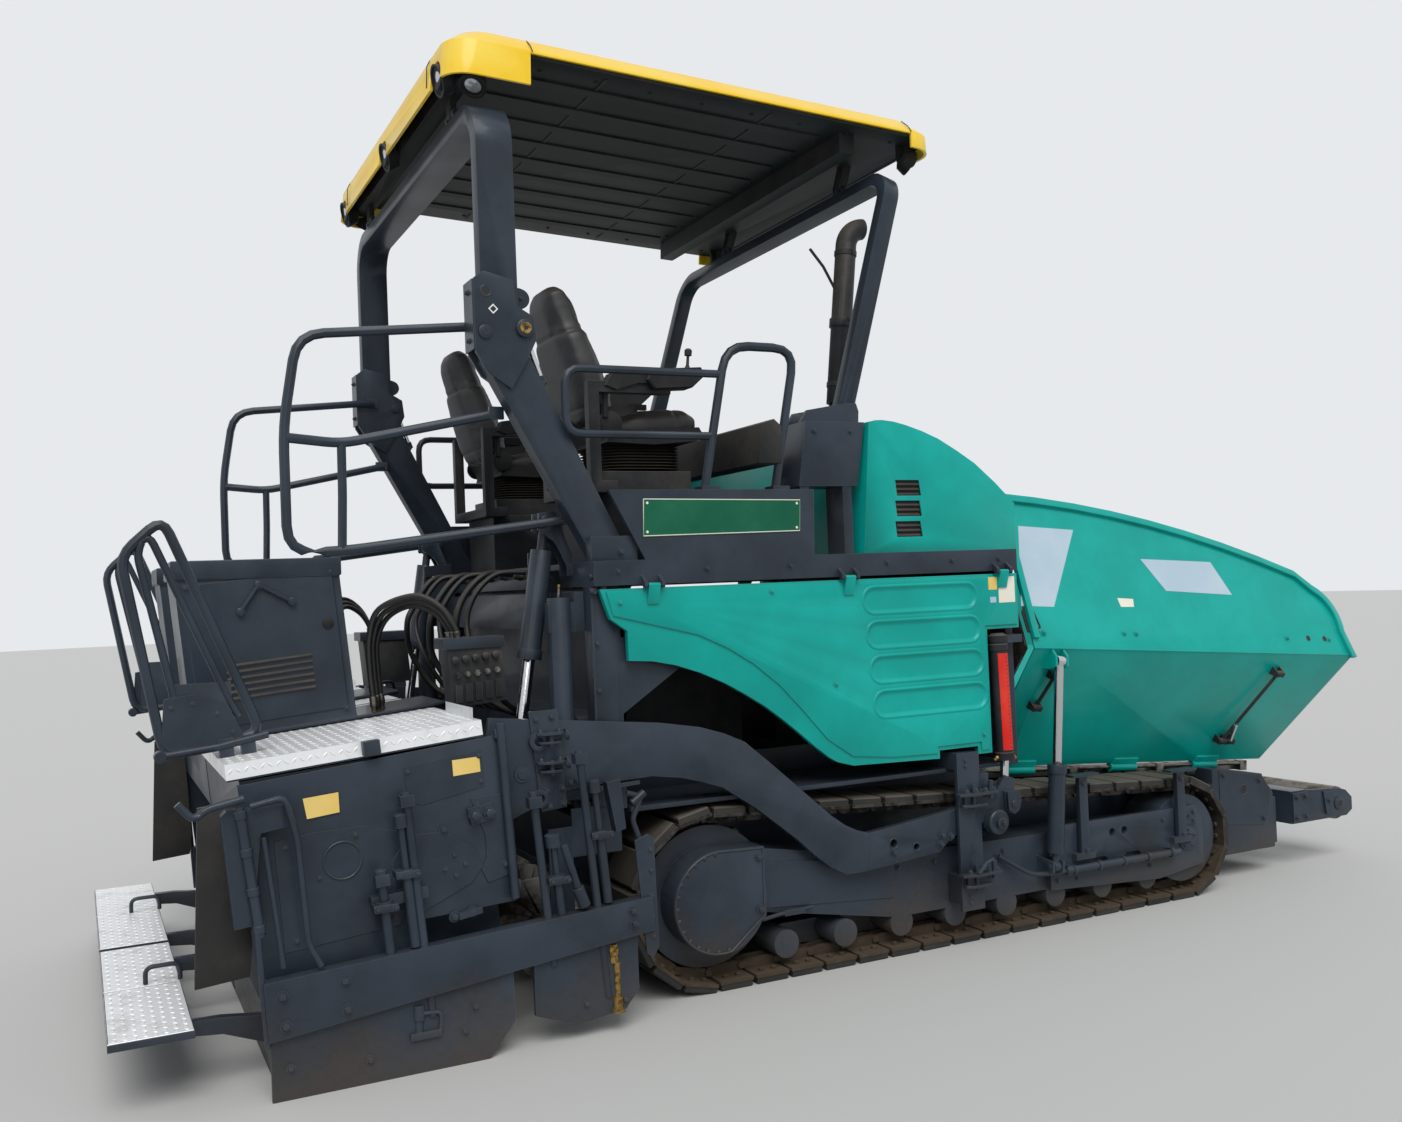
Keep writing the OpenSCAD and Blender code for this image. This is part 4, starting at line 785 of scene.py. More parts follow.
for s, name in SIDES:
    plate = Builder()

    def on_plate(u, v, proud=PROUD):
        return at_screed(u, s * (END_FACE + proud), v)

    def patch(outline, thick):
        plate.plate(s, END_FACE, outline, thick * MM, place=at_screed)

    patch([(166, 856), (300, 862), (470, 850), (600, 802), (640, 640), (560, 470), (158, 467)], 4)
    patch([(629, 783), (755, 770), (864, 689), (886, 611), (835, 560), (617, 486), (560, 520), (556, 700)], 6)
    patch([(640, 1030), (930, 1040), (930, 905), (690, 880), (640, 900)], 4)
    patch([(870, 870), (985, 865), (990, 560), (900, 545), (880, 600), (905, 640), (910, 720)], 5)
    patch([(770, 440), (860, 446), (860, 468), (770, 462)], 26)
    # round blanking cover: a ring of weld with a flat lid
    plate.tube([on_plate(u, v, 7) for u, v in arc(387, 744, 66, 0, 360, 29)], 0.0035, 6)
    for u, v, size in ((755, 775, 0.011), (783, 676, 0.008), (741, 631, 0.008), (818, 635, 0.008),
                       (779, 600, 0.008), (757, 452, 0.014), (824, 455, 0.014), (650, 1010, 0.007),
                       (920, 1020, 0.007), (655, 905, 0.007), (915, 925, 0.007), (200, 830, 0.008),
                       (440, 825, 0.008), (200, 500, 0.008), (540, 500, 0.008), (890, 840, 0.009),
                       (970, 600, 0.009), (300, 700, 0.007)):
        plate.bolt(on_plate(u, v), (0, s, 0), size)
    # hose plate with its two large unions
    plate.prism([on_plate(u, v) for u, v in ((850, 835), (945, 842), (950, 780), (860, 770))],
                (0, s * 0.012, 0))
    union = [(0, 0.024), (0.014, 0.024), (0.014, 0.017), (0.03, 0.017), (0.032, 0.014)]
    for u in (872, 928):
        plate.turned(on_plate(u, 807, 17), (0, s, 0), union, 6)
    # grab tube along the front edge
    plate.rod(at_screed(1011, s * 1342, 1128), at_screed(990, s * 1342, 470), 0.017, 14)
    for v in (1090, 520):
        plate.box(at_screed(985, s * END_FACE, v - 15), at_screed(1018, s * 1342, v + 15))
    plate.piece("end_plate_details_" + name, grey_paint, "extension_" + name, 40, "grey_paint")

    signs = Builder()
    for outline in ([(278, 986), (401, 985), (397, 914), (284, 912)],
                    [(818, 1021), (922, 1017), (920, 960), (816, 962)]):
        signs.prism([on_plate(u, v) for u, v in outline], (0, s * 0.0012, 0), rim=0.0004)
    signs.piece("blank_signs_" + name, sign_yellow, "extension_" + name, 30)

# %% [markdown]
# The side beam hangs on threaded spindles. Each spindle is turned in one lathe profile: cap, screw, collar
# and foot.

# %% Spindles and beam bolts
SPINDLE_Y = 1390

for s, name in SIDES:
    gear = Builder()

    def spindle(u, foot, head, cap=0.024):
        base = at_screed(u, s * SPINDLE_Y, foot)
        axis = (at_screed(u, s * SPINDLE_Y, head) - base).normalized()
        length = (head - foot) * MM
        collar = length * 0.52
        gear.turned(base, axis, [(0, 0.018), (collar, 0.018), (collar, 0.029), (collar + 0.03, 0.029),
                                 (collar + 0.03, 0.013), (length - 0.05, 0.013), (length - 0.05, cap),
                                 (length - 0.006, cap), (length, cap * 0.7)])
        clamp = base + axis * length * 0.55
        corners = ((-0.042, -0.032), (0.042, -0.032), (0.042, 0.032), (-0.042, 0.032))
        gear.prism([clamp + Vector((dx, s * dy, -0.013)) for dx, dy in corners], axis * 0.026)
        for dx in (-0.032, 0.032):
            gear.bolt(clamp + Vector((dx, s * 0.032, 0)), (0, s, 0), 0.008)

    spindle(500, 395, 700)
    spindle(590, 400, 880)
    spindle(1145, 300, 690, cap=0.03)
    spindle(1335, 385, 860)
    gear.turned(at_screed(576, s * SPINDLE_Y, 190), (-0.03, 0, -1),
                [(0, 0.022), (0.05, 0.022), (0.05, 0.016), (0.1, 0.016)], 16)
    gear.box(at_screed(530, s * 1352, 76), at_screed(640, s * 1410, 90))
    gear.tube(cornered_path([at_screed(640, s * 1400, 84), at_screed(650, s * 1400, 150),
                             at_screed(585, s * 1400, 160)], 0.02), 0.008, 8)
    # crank tube that leans inwards, and its bent handle
    gear.rod(at_screed(1180, s * 1405, 640), at_screed(1215, s * 1405, 470), 0.015)
    gear.rod(at_screed(1215, s * 1405, 470), at_screed(1235, s * 1405, 395), 0.024)
    crank = ((-1660, 905), (-1600, 885), (-1640, 800), (-1618, 735), (-1596, 660))
    gear.tube(cornered_path([at(x, s * SPINDLE_Y, z) for x, z in crank], 0.02), 0.011, 8)
    gear.rod(at(-1640, s * SPINDLE_Y, 862), at(-1585, s * SPINDLE_Y, 900), 0.016)
    # box at the beam's nose and the bracket plate in front
    gear.plate(s, 1352, ((-1745, 955), (-1690, 965), (-1672, 770), (-1712, 762)), 0.05)
    gear.plate(s, 1398, ((-1640, 720), (-1585, 740), (-1560, 720), (-1555, 300), (-1580, 262), (-1605, 280)),
               0.01)
    gear.bolts(s, 1408, [(-1580, z) for z in (680, 600, 500, 420, 345)], 0.008)
    # beam bolts and the weld line along its top
    gear.bolts(s, 1420, ((120, 352), (119, 250), (329, 352), (326, 252), (1420, 335), (1420, 285)), 0.014,
               place=at_screed)
    gear.bolts(s, 1395, ((-2938, 107), (-2671, 83), (-2330, 120), (-2290, 200), (-1860, 130), (-1700, 120)),
               0.011)
    for u in range(150, 1450, 48):
        gear.boss(at_screed(u, s * 1400, 386 - u * 0.026), SCREED_V, 0.007, 0.006, 8, rim=0.001, drop=0.002)
    gear.piece("spindles_" + name, grey_paint, "extension_" + name, 40, "grey_paint")

    brass = Builder()
    nut = [(0, 0.017), (0.03, 0.017), (0.03, 0.022), (0.055, 0.022), (0.055, 0.017), (0.07, 0.017)]
    foot = [(0, 0.03), (0.012, 0.03), (0.016, 0.022), (0.06, 0.022), (0.06, 0.014), (0.19, 0.014)]
    brass.turned(at_screed(1328, s * SPINDLE_Y, 150), (0, 0, 1), nut, 6)
    brass.turned(at_screed(1322, s * SPINDLE_Y, -38), (0, 0, 1), foot, 18)
    brass.piece("brass_nut_" + name, worn_brass, "extension_" + name, 40)

# %% [markdown]
# An operator's seat is foam under a sewn vinyl cover. Each cushion starts as a rounded, slightly undersized
# form that is lofted from sections, and the cloth solver then blows it up and lets it settle, which gives the
# soft wrinkles near the seams that a plain rounded box never shows. The real seats are tall and narrow with
# side bolsters.

# %% Cushion tools
PAD_VOXEL = 0.011
PUFF_FRAMES = 16


def loft(name, sections, material):
    made = Builder()
    made.rings(sections)
    bmesh.ops.recalc_face_normals(made.bm, faces=made.bm.faces)
    mesh = bpy.data.meshes.new(name)
    made.bm.to_mesh(mesh)
    made.bm.free()
    mesh.materials.append(material)
    pad = bpy.data.objects.new(name, mesh)
    bpy.context.scene.collection.objects.link(pad)
    return pad


def rounded_section(centre, axis_w, axis_t, half_w, half_t, power=4.0, count=28, hollow=0.0):
    # superellipse ring; hollow pulls the middle of the front face in, between the bolsters
    ring = []
    for k in range(count):
        a = math.tau * k / count
        c, s = math.cos(a), math.sin(a)
        w = math.copysign(abs(c) ** (2 / power), c) * half_w
        t = math.copysign(abs(s) ** (2 / power), s) * half_t
        if s > 0:
            t -= hollow * max(0.0, math.cos(w / half_w * math.pi * 0.62)) ** 2
        ring.append(centre + axis_w * w + axis_t * t)
    return ring


def puff(piece, limit):
    # blow a closed form up as cloth, but let no point move farther than limit
    bpy.context.view_layer.update()
    mesh = piece.data
    remesh = piece.modifiers.new("even_mesh", "REMESH")
    remesh.mode, remesh.voxel_size = "VOXEL", PAD_VOXEL
    depsgraph = bpy.context.evaluated_depsgraph_get()
    even = bpy.data.meshes.new_from_object(piece.evaluated_get(depsgraph))
    piece.modifiers.clear()
    piece.data = even
    if not even.materials:
        for material in mesh.materials:
            even.materials.append(material)
    before = [v.co.copy() for v in even.vertices]
    cloth = piece.modifiers.new("cover", "CLOTH")
    cloth.settings.use_pressure = True
    cloth.settings.uniform_pressure_force = 4.0
    cloth.settings.tension_stiffness = 12
    cloth.settings.compression_stiffness = 12
    cloth.settings.bending_stiffness = 0.6
    cloth.settings.effector_weights.gravity = 0
    scene = bpy.context.scene
    for frame_number in range(1, PUFF_FRAMES + 1):
        scene.frame_set(frame_number)
    depsgraph = bpy.context.evaluated_depsgraph_get()
    blown = bpy.data.meshes.new_from_object(piece.evaluated_get(depsgraph))
    piece.modifiers.clear()
    scene.frame_set(1)
    for vertex, start in zip(blown.vertices, before):
        move = vertex.co - start
        if move.length > limit:
            vertex.co = start + move.normalized() * limit
    piece.data = blown
    piece.data.shade_smooth()
    return piece


def crease(piece, measure, width, depth):
    # sink a sewn seam: measure gives each point's distance from the stitch line
    normals = [v.normal.copy() for v in piece.data.vertices]
    for vertex, normal in zip(piece.data.vertices, normals):
        d = measure(vertex.co)
        if d < width:
            vertex.co -= normal * depth * (1 - (d / width) ** 2) ** 2
    piece.data.update()


print("cushions are", "blown up as cloth")

# %% [markdown]
# A seat's back and cushion are each a row of sections, with their height or depth, half width, half thickness
# and hollow between the bolsters. Sewn seams run across and along them, and each seam is a distance from its
# line.

# %% Seat cushions
SEAT_RECLINE = math.radians(17)
ACROSS, UP = Vector((0, 1, 0)), Vector((0, 0, 1))
BACK_SECTIONS = ((0.0, 0.17, 0.035, 0.0), (0.03, 0.215, 0.062, 0.012), (0.14, 0.228, 0.075, 0.022),
                 (0.28, 0.225, 0.072, 0.024), (0.4, 0.205, 0.066, 0.018), (0.47, 0.17, 0.06, 0.010),
                 (0.56, 0.152, 0.058, 0.006), (0.62, 0.135, 0.05, 0.0), (0.652, 0.09, 0.03, 0.0))
CUSHION_SECTIONS = ((0.0, 0.19, 0.03, 0.0), (0.03, 0.225, 0.055, 0.008), (0.15, 0.24, 0.062, 0.016),
                    (0.3, 0.24, 0.062, 0.016), (0.38, 0.225, 0.058, 0.008), (0.425, 0.2, 0.042, 0.0),
                    (0.437, 0.15, 0.02, 0.0))


def seat_back(y, name):
    # the back leans rearwards; the whole seat stands on its suspension
    lean = Vector((-math.sin(SEAT_RECLINE), 0, math.cos(SEAT_RECLINE)))
    front = Vector((math.cos(SEAT_RECLINE), 0, math.sin(SEAT_RECLINE)))
    foot = at(-1500, y, 2395)
    rings = [rounded_section(foot + lean * h, ACROSS, front, w, t, 3.2, 28, hollow)
             for h, w, t, hollow in BACK_SECTIONS]
    back = puff(loft("seat_back_" + name, rings, seat_vinyl), 0.016)
    crease(back, lambda p: abs((p - foot).dot(lean) - 0.43), 0.014, 0.006)
    crease(back, lambda p: abs((p - foot).dot(lean) - 0.10), 0.012, 0.004)

    def upright_seam(p, side):
        # only below the head rest, and only on the front
        above, behind = max(0.0, (p - foot).dot(lean) - 0.42), max(0.0, -(p - foot).dot(front))
        return abs((p - foot).dot(ACROSS) - side * 0.125) + above * 4 + behind * 4

    for side in (-1, 1):
        crease(back, lambda p, e=side: upright_seam(p, e), 0.011, 0.006)
    return back


def seat_cushion(y, name):
    base = at(-1490, y, 2400)
    rings = [rounded_section(base + Vector((d, 0, -0.012 + d * 0.06)), ACROSS, UP, w, t, 3.4, 28, hollow)
             for d, w, t, hollow in CUSHION_SECTIONS]
    cushion = puff(loft("seat_cushion_" + name, rings, seat_vinyl), 0.014)
    crease(cushion, lambda p: abs(p.x - base.x - 0.31) + max(0.0, base.z - p.z) * 4, 0.012, 0.005)

    def long_seam(p, side):
        # only on the top, and only behind the front roll
        under, ahead = max(0.0, base.z - p.z), max(0.0, p.x - base.x - 0.31)
        return abs(p.y - base.y - side * 0.135) + under * 4 + ahead * 4

    for side in (-1, 1):
        crease(cushion, lambda p, e=side: long_seam(p, e), 0.011, 0.005)
    return cushion


def build_seat(y, name):
    pads = seat_back(y, name), seat_cushion(y, name)
    for pad in pads:
        smoother = pad.modifiers.new("soft_surface", "SUBSURF")
        smoother.levels = smoother.render_levels = 1
        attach(pad, "machine")
        print(pad.name, len(pad.data.polygons), "faces")
    return pads


SEATS = ((-750, "right"), (750, "left"))
seats = [build_seat(y, name) for y, name in SEATS]
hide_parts("seat_pads")

# %% [markdown]
# Under the cushions: a moulded pan, the ribbed bellows of the suspension, belt reels and the arm rest
# consoles with their control boxes. The bellows is one lathed zigzag squared off by a superellipse ring.

# %% Seat hardware
LEVER = [(0, 0.016), (0.02, 0.007), (0.062, 0.006), (0.062, 0.016), (0.084, 0.017), (0.092, 0.010)]
PAN = ((-1510, 2322), (-1500, 2366), (-1075, 2392), (-1062, 2370), (-1090, 2330), (-1300, 2312))
SHELL = ((-1500, 2330), (-1560, 2420), (-1590, 2560), (-1576, 2562), (-1540, 2430), (-1480, 2340))
ARM = ((-1548, 2548), (-1520, 2600), (-1400, 2616), (-1180, 2612), (-1160, 2590), (-1190, 2562),
       (-1400, 2560), (-1500, 2530))
CONTROL_BOX = ((-1345, 2622), (-1105, 2638), (-1085, 2604), (-1150, 2548), (-1330, 2536), (-1362, 2575))
STRAP = ((-1552, 222, 2470), (-1515, 236, 2452), (-1455, 243, 2448), (-1400, 238, 2462), (-1360, 205, 2474))

for y, name in SEATS:
    hard = Builder()
    rings = []
    for k in range(17):
        half = 0.17 if k % 2 else 0.192
        middle = at(-1320, y, 2212 + k * 6.6)
        rings.append(rounded_section(middle, Vector((1, 0, 0)), ACROSS, half, half, 2 / 0.45, 32))
    hard.rings(rings)
    # moulded pan under the cushion
    hard.prism([at(x, y - 228, z) for x, z in PAN], (0, 0.456, 0))
    # back shell and its hinge covers
    hard.prism([at(x, y - 205, z) for x, z in SHELL], (0, 0.41, 0))
    for e in (-1, 1):
        hard.turned(at(-1502, y + e * 228, 2398), (0, e, 0), [(0, 0.055), (0.022, 0.052), (0.026, 0.044)])
        hard.prism([at(x, y + e * 250, z) for x, z in ARM], (0, e * 0.062, 0), rim=0.006)
        hard.rod(at(-1530, y + e * 255, 2420), at(-1528, y + e * 262, 2560), 0.014, 10)
    # a control box at the end of each arm rest, tilted to the operator, with its lever and buttons
    for e in (-1, 1):
        hard.prism([at(x, y + e * 235, z) for x, z in CONTROL_BOX], (0, e * 0.1, 0), rim=0.007)
        hard.turned(at(-1150, y + e * 285, 2632), (0.1, 0, 1), LEVER, 14)
        for b in range(4):
            hard.boss(at(-1210 - b * 34, y + e * 285, 2630 - b * 2.4), (0.07, 0, 1), 0.009, 0.006, 12)
    hard.piece("seat_frame_" + name, black_plastic, "machine", 30, "black_plastic")

    belts = Builder()
    for e in (-1, 1):
        path = smooth_path([at(x, y + e * out, z) for x, out, z in STRAP], 5)
        edges = ((0, 0.021), (0.003, 0.021), (0.003, -0.021), (0, -0.021))
        belts.rings([[p + Vector((0, e * thick, high)) for thick, high in edges] for p in path])
        belts.box(at(-1372, y + e * 196, 2462), at(-1318, y + e * 214, 2486))
    belts.piece("seat_belts_" + name, belt_webbing, "machine", 30)

# %% [markdown]
# Work lamps sit in the corners of the roof: a black housing with a clear lens over a bright reflector.

# %% Roof lamps
ROOF_ORIGIN = at(-2200, 0, 3728)
ROOF_TILT = math.radians(2.9)


def at_roof(u, y, v):
    c, s = math.cos(ROOF_TILT), math.sin(ROOF_TILT)
    return ROOF_ORIGIN + Vector((u * c + v * s, y, -u * s + v * c)) * MM


roof_u = (at_roof(1000, 0, 0) - at_roof(0, 0, 0)).normalized()
roof_v = (at_roof(0, 0, 1000) - at_roof(0, 0, 0)).normalized()
lamps = Builder()
for y in (-965, 0, 965):
    # hooded housing in the arched opening, its lens facing rearwards and down
    aim = (-roof_u * 0.94 - roof_v * 0.34).normalized()
    back = at_roof(72, y, 66)
    hood = [(0, 0.035), (0.012, 0.056), (0.058, 0.066), (0.066, 0.066), (0.066, 0.058), (0.058, 0.054)]
    lamps.turned(back, aim, hood, 28)
    lamps.turned(back + aim * 0.05, aim, [(0, 0.054), (0.004, 0.05), (0.010, 0.03), (0.012, 0.008)], 28, 1)
    arch = [at_roof(70, y + dy, v) for dy, v in ((-74, 66), (-74, 138), (74, 138), (74, 66))]
    lamps.tube(cornered_path(arch, 0.03), 0.007, 8)
for s in (-1, 1):
    for u, y, v in ((2255, 990, 92), (150, 1040, 58)):
        aim = (roof_u * (0.9 if u > 1000 else -0.2) - roof_v * 0.5 + Vector((0, s * 0.2, 0))).normalized()
        start = at_roof(u, s * y, v)
        hood = [(0, 0.03), (0.012, 0.048), (0.05, 0.056), (0.058, 0.056), (0.058, 0.049), (0.05, 0.046)]
        lamps.turned(start, aim, hood, 24)
        lamps.turned(start + aim * 0.044, aim, [(0, 0.046), (0.004, 0.043), (0.009, 0.02)], 24, 1)
        lamps.box(at_roof(u - 20, s * (y - 10), v), at_roof(u + 10, s * (y + 10), v + 70))
lamps.piece("roof_lamps", [black_plastic, lamp_lens], "roof", 35)

# %% [markdown]
# The lining of the roof has rivets, seams and pressed ribs, and the shell shows the joint lines of its
# mouldings.

# %% Roof lining and joint lines
LINING_V = 151
RIVET = [(0, 0.011), (0.003, 0.010), (0.006, 0.005)]
seams = Builder()
for u in (24, 700, 1500, 2335):
    seams.box(at_roof(u, -1060, 147.5), at_roof(u + 14, 1060, LINING_V))
rivets = [(180 + k * 250, s * 1010) for k in range(9) for s in (-1, 1)]
rivets += [(u, k * 210) for k in range(-4, 5) for u in (190, 1860)]
for u, y in rivets:
    seams.turned(at_roof(u, y, LINING_V), -roof_v, RIVET, 12)
# pressed ribs of the lining
for y in range(-900, 901, 225):
    corners = ((260, y - 30), (260, y + 30), (1840, y + 30), (1840, y - 30))
    seams.prism([at_roof(u, edge, LINING_V) for u, edge in corners], -roof_v * 0.007, 0, 0.004)
seams.piece("lining_ribs", black_plastic, "roof", 30, "black_plastic")

# dark lines between the corner mouldings and the middle of the shell, over the rear rim and along the top
joints = Builder()
for y in (-840, 840):
    line = ((-1.2, 60), (-0.8, 150), (8, 172), (30, 206), (84, 244.6), (500, 244.8))
    joints.tube([at_roof(u, y, v) for u, v in line], 0.0022, 6)
for s in (-1, 1):
    for u in (355, 2215):
        line = ((1136, 168), (1128, 178), (1104, 206), (1054, 244.6))
        joints.tube([at_roof(u, s * y, v) for y, v in line], 0.0022, 6)
joints.piece("shell_joints", black_plastic, "roof", 60)

# %% [markdown]
# The exhaust stack carries three clamps and a thin stay.

# %% Stack fittings
stack = Builder()
CLAMPS_AT = (0.14, 0.45, 0.78)
lean = math.radians(6.7)
stack_up = Vector((math.sin(lean), 0, math.cos(lean)))
stack_foot = at(-280, -850, 2475)
band = [(0, 0.0505), (0, 0.054), (0.022, 0.054), (0.022, 0.0505)]
for h in CLAMPS_AT:
    stack.turned(stack_foot + stack_up * h, stack_up, band, 32)
    stack.bolt(stack_foot + stack_up * (h + 0.011) + Vector((0, -0.054, 0)), (1, 0, 0), 0.008)
stay = ((0.62, -0.05), (0.72, -0.12), (0.80, -0.2))
stack.tube([stack_foot + stack_up * h + Vector((back, 0, 0)) for h, back in stay], 0.007, 8)
stack.piece("stack_fittings", black_paint, "exhaust_stack", 40, "black_paint")

# %% [markdown]
# A hole in thick plate reads by its shaded inside and the thin bright line round it. Here a dark disc of
# painted shade lies a hair proud of the plate inside a slim bead, which needs no cut in the frame's solid.

# %% Beads and holes
BEAD_THICK = 0.0022


def bead(build, centre, axis, radius, thick=BEAD_THICK):
    rim = round_about(Vector(centre), *across(axis), radius, 24)
    build.tube(rim + rim[:1], thick, 6)


def painted_shade_hole(build, centre, axis, radius):
    # the second finish of the piece is its dark one, a disc of painted shade for the hole's inside
    build.turned(centre, axis, [(-0.001, radius), (0.0008, radius)], finish=1)
    bead(build, centre, axis, radius)


print("holes ready")

# %% [markdown]
# Where the roof folds, two thick plates clasp each leg of the rear arch. The near face shows the fold pin in
# a brass bush, the hole of the locking pin and a flat screw, and the clevis under the deck carries the lift
# cylinder.

# %% Arch joints and lift clevises
# the fold pin and the pin of the lift cylinder
FOLD_X, FOLD_Z = -1930, 2740
LIFT_X, LIFT_Z = -1800, 1980
JOINT_FACE, CLEVIS_FACE = 1178, 1008

for s, name in SIDES:
    joint = Builder()
    out, face = (0, s, 0), s * JOINT_FACE
    joint.box(at(-2139, s * 1062, 2650), at(-2130.5, face, 2925))
    for z in (2690, 2880):
        joint.bolt(at(-2139, s * 1120, z), (-1, 0, 0), 0.009)
    # hole of the locking pin, a dark disc of painted shade
    painted_shade_hole(joint, at(-2083, face, 2881), out, 0.021)
    joint.turned(at(-2056, face, 2811), out, [(0, 0.020), (0.003, 0.020)], 4, 2)
    joint.turned(at(-2056, face + s * 3, 2811), out, [(0, 0.013), (0.001, 0.013)], 4, 1)
    joint.turned(at(-2092, face, 2719), out,
                 [(0, 0.027), (0.010, 0.027), (0.012, 0.024), (0.012, 0.015), (0.015, 0.014)], 24)
    joint.boss(at(FOLD_X, s * 1190, FOLD_Z), out, 0.036, 0.004)
    joint.turned(at(FOLD_X, s * 1196, FOLD_Z), out, [(0, 0.023), (0.003, 0.023)], 24, 3)
    joint.turned(at(FOLD_X, s * 1199, FOLD_Z), out, [(0, 0.009), (0.003, 0.009)], 12, 1)
    # locking strut behind the plates
    joint.rod(at(-1893, s * 1118, 2680), at(-1850, s * 1118, 2560), 0.012, 14, 4)
    joint.turned(at(-1850, s * 1118, 2560), (0.34, 0, -0.94),
                 [(-0.004, 0.016), (0.03, 0.016), (0.034, 0.012)], 14)
    joint.box(at(-1885, s * 1100, 2520), at(-1838, s * 1136, 2540))
    # pin head of the lift cylinder with its keeper, and the lugs bolted on the rail's end
    joint.boss(at(LIFT_X, s * CLEVIS_FACE, LIFT_Z), out, 0.036, 0.008)
    joint.bolt(at(LIFT_X, s * 1018, LIFT_Z), out, 0.014)
    joint.box(at(-1842, s * CLEVIS_FACE, 1940), at(-1806, s * 1014, 1956))
    joint.bolt(at(-1832, s * 1014, 1948), out, 0.008)
    joint.bolt(at(-1575, s * 1220, 1845), out, 0.012)
    for z in (1690, 1748):
        joint.rod(at(-1712, s * 1212, z), at(-1640, s * 1212, z + 6), 0.012)
        joint.box(at(-1700, s * 1188, z - 12), at(-1686, s * 1226, z + 14))
        joint.bolt(at(-1656, s * 1224, z + 4), out, 0.010)
    joint.rod(at(-1648, s * 1216, 1690), at(-1648, s * 1216, 1756), 0.008)
    joint.bolts(s, 1192, [(-1680, z) for z in (905, 1010, 1110, 1290, 1480)], 0.010)
    joint.box(at(-1702, s * 1186, 840), at(-1694, s * 1200, 1700))
    finishes = [grey_paint, black_paint, tread_alloy, worn_brass, chrome]
    joint.piece("arch_joint_" + name, finishes, "machine", 35)

    ear = Builder()
    outline = [(-1950, 2912), (-1930, 2910)] + arc(-1930, 2868, 40, 75, -90, 12) + [(-1950, 2822)]
    ear.plate(s, 1122, outline, 0.016)
    ear.bolt(at(-1928, s * 1138, 2868), out, 0.008)
    ear.piece("arch_ear_" + name, grey_paint, "rear_arch", 35)

# %% [markdown]
# The tow arms carry a bolted plate with two forged shackles for the hose bridge. A shackle is two half-round
# lips one over the other with a pin through them.

# %% Tow arm fittings
ARM_FACE, ARM_PLATE = 1244, 1258
SHACKLE_X = -1922
LIP = [(-62, 0), (62, 0), (56, 30), (34, 50), (0, 58), (-34, 50), (-56, 30)]

for s, name in SIDES:
    arm = Builder()
    out = (0, s, 0)
    arm.bolts(s, ARM_PLATE, ((-1974, 1205), (-1909, 1210), (-1940, 926), (-1875, 930), (-1930, 866),
                             (-1873, 870)), 0.010)
    arm.bolts(s, ARM_FACE, ((-1835, 946), (-1803, 949), (-329, 478), (-73, 482), (-62, 521), (-15, 511)),
              0.013)
    for z in (1143, 1032):
        for drop, size in ((0, 1.0), (-34, 0.82)):
            arm.prism([at(SHACKLE_X + dx * size, s * (ARM_PLATE + dy * size), z + drop) for dx, dy in LIP],
                      (0, 0, 0.010))
        arm.rod(at(SHACKLE_X, s * 1288, z - 44), at(SHACKLE_X, s * 1288, z + 14), 0.010)
        for dx in (-40, 36):
            arm.bolt(at(SHACKLE_X + dx, s * 1278, z + 10), (0, 0, 1), 0.009)
        bead(arm, at(-1856, s * 1280, z - 2), (1, 0, 0.2), 0.020, 0.0045)
    collar = [(0, 0.031), (0.006, 0.031), (0.006, 0.020), (0.012, 0.018)]
    arm.turned(at(-2031, s * ARM_FACE, 998), out, collar)
    bead(arm, at(-327, s * ARM_FACE, 518), out, 0.022, 0.003)
    bead(arm, at(-205, s * ARM_FACE, 488), out, 0.018, 0.003)
    seam = ((-447, 577), (-451, 500), (-455, 418))
    arm.tube([at(x, s * ARM_FACE, z) for x, z in seam], BEAD_THICK, 6)
    # bent stop plate under the arm
    arm.plate(s, 1206, ((-1745, 918), (-1545, 925), (-1545, 912), (-1745, 902)), 0.055)
    arm.piece("tow_arm_fittings_" + name, grey_paint, "screed", 35, "grey_paint")

# %% [markdown]
# The tow point slides in a guide with clamping plates, a guide roller and a fork.

# %% Tow guide fittings
GUIDE_FACE = 1276
CLAMP = [(-2, GUIDE_FACE), (226, GUIDE_FACE), (234, 1300), (208, 1326), (60, 1334), (-2, 1312)]
FORK = [(270, 690), (344, 690), (350, 640), (336, 600), (306, 584), (276, 604)]

for s, name in SIDES:
    guide = Builder()
    out = (0, s, 0)
    for z in (694, 330):
        # a clamp plate, a smaller one below it and the web that joins them
        guide.prism([at(x, s * y, z) for x, y in CLAMP], (0, 0, 0.012))
        guide.prism([at(20 + x * 0.62, s * (GUIDE_FACE + (y - GUIDE_FACE) * 0.8), z - 52) for x, y in CLAMP],
                    (0, 0, 0.012))
        guide.plate(s, GUIDE_FACE, ((40, z - 52), (150, z - 52), (176, z), (40, z)), 0.014)
        for x in (44, 96, 150, 196):
            guide.bolt(at(x, s * 1302, z + 12), (0, 0, 1), 0.012)
        guide.rod(at(172, s * 1312, z - 20), at(172, s * 1312, z + 62), 0.012)
        guide.rod(at(86, s * 1296, z - 66), at(86, s * 1296, z + 50), 0.009)
    guide.tube([at(70, s * 1330, 346), at(112, s * 1336, 392), at(150, s * 1336, 404)], 0.008, 8)
    guide.bolts(s, 1275, [(60, z) for z in (852, 826, 232, 206)], 0.008)
    roller = [(0, 0.056), (0.045, 0.056), (0.050, 0.050), (0.050, 0.026), (0.070, 0.026), (0.072, 0.022)]
    guide.turned(at(206, s * 1275, 560), out, roller, 24)
    guide.bolt(at(206, s * 1347, 560), out, 0.013)
    for y in (1277, 1300):
        guide.plate(s, y, FORK, 0.010)
    guide.rod(at(306, s * 1260, 632), at(306, s * 1318, 632), 0.017)
    guide.piece("tow_guide_fittings_" + name, grey_paint, "machine", 35, "grey_paint")

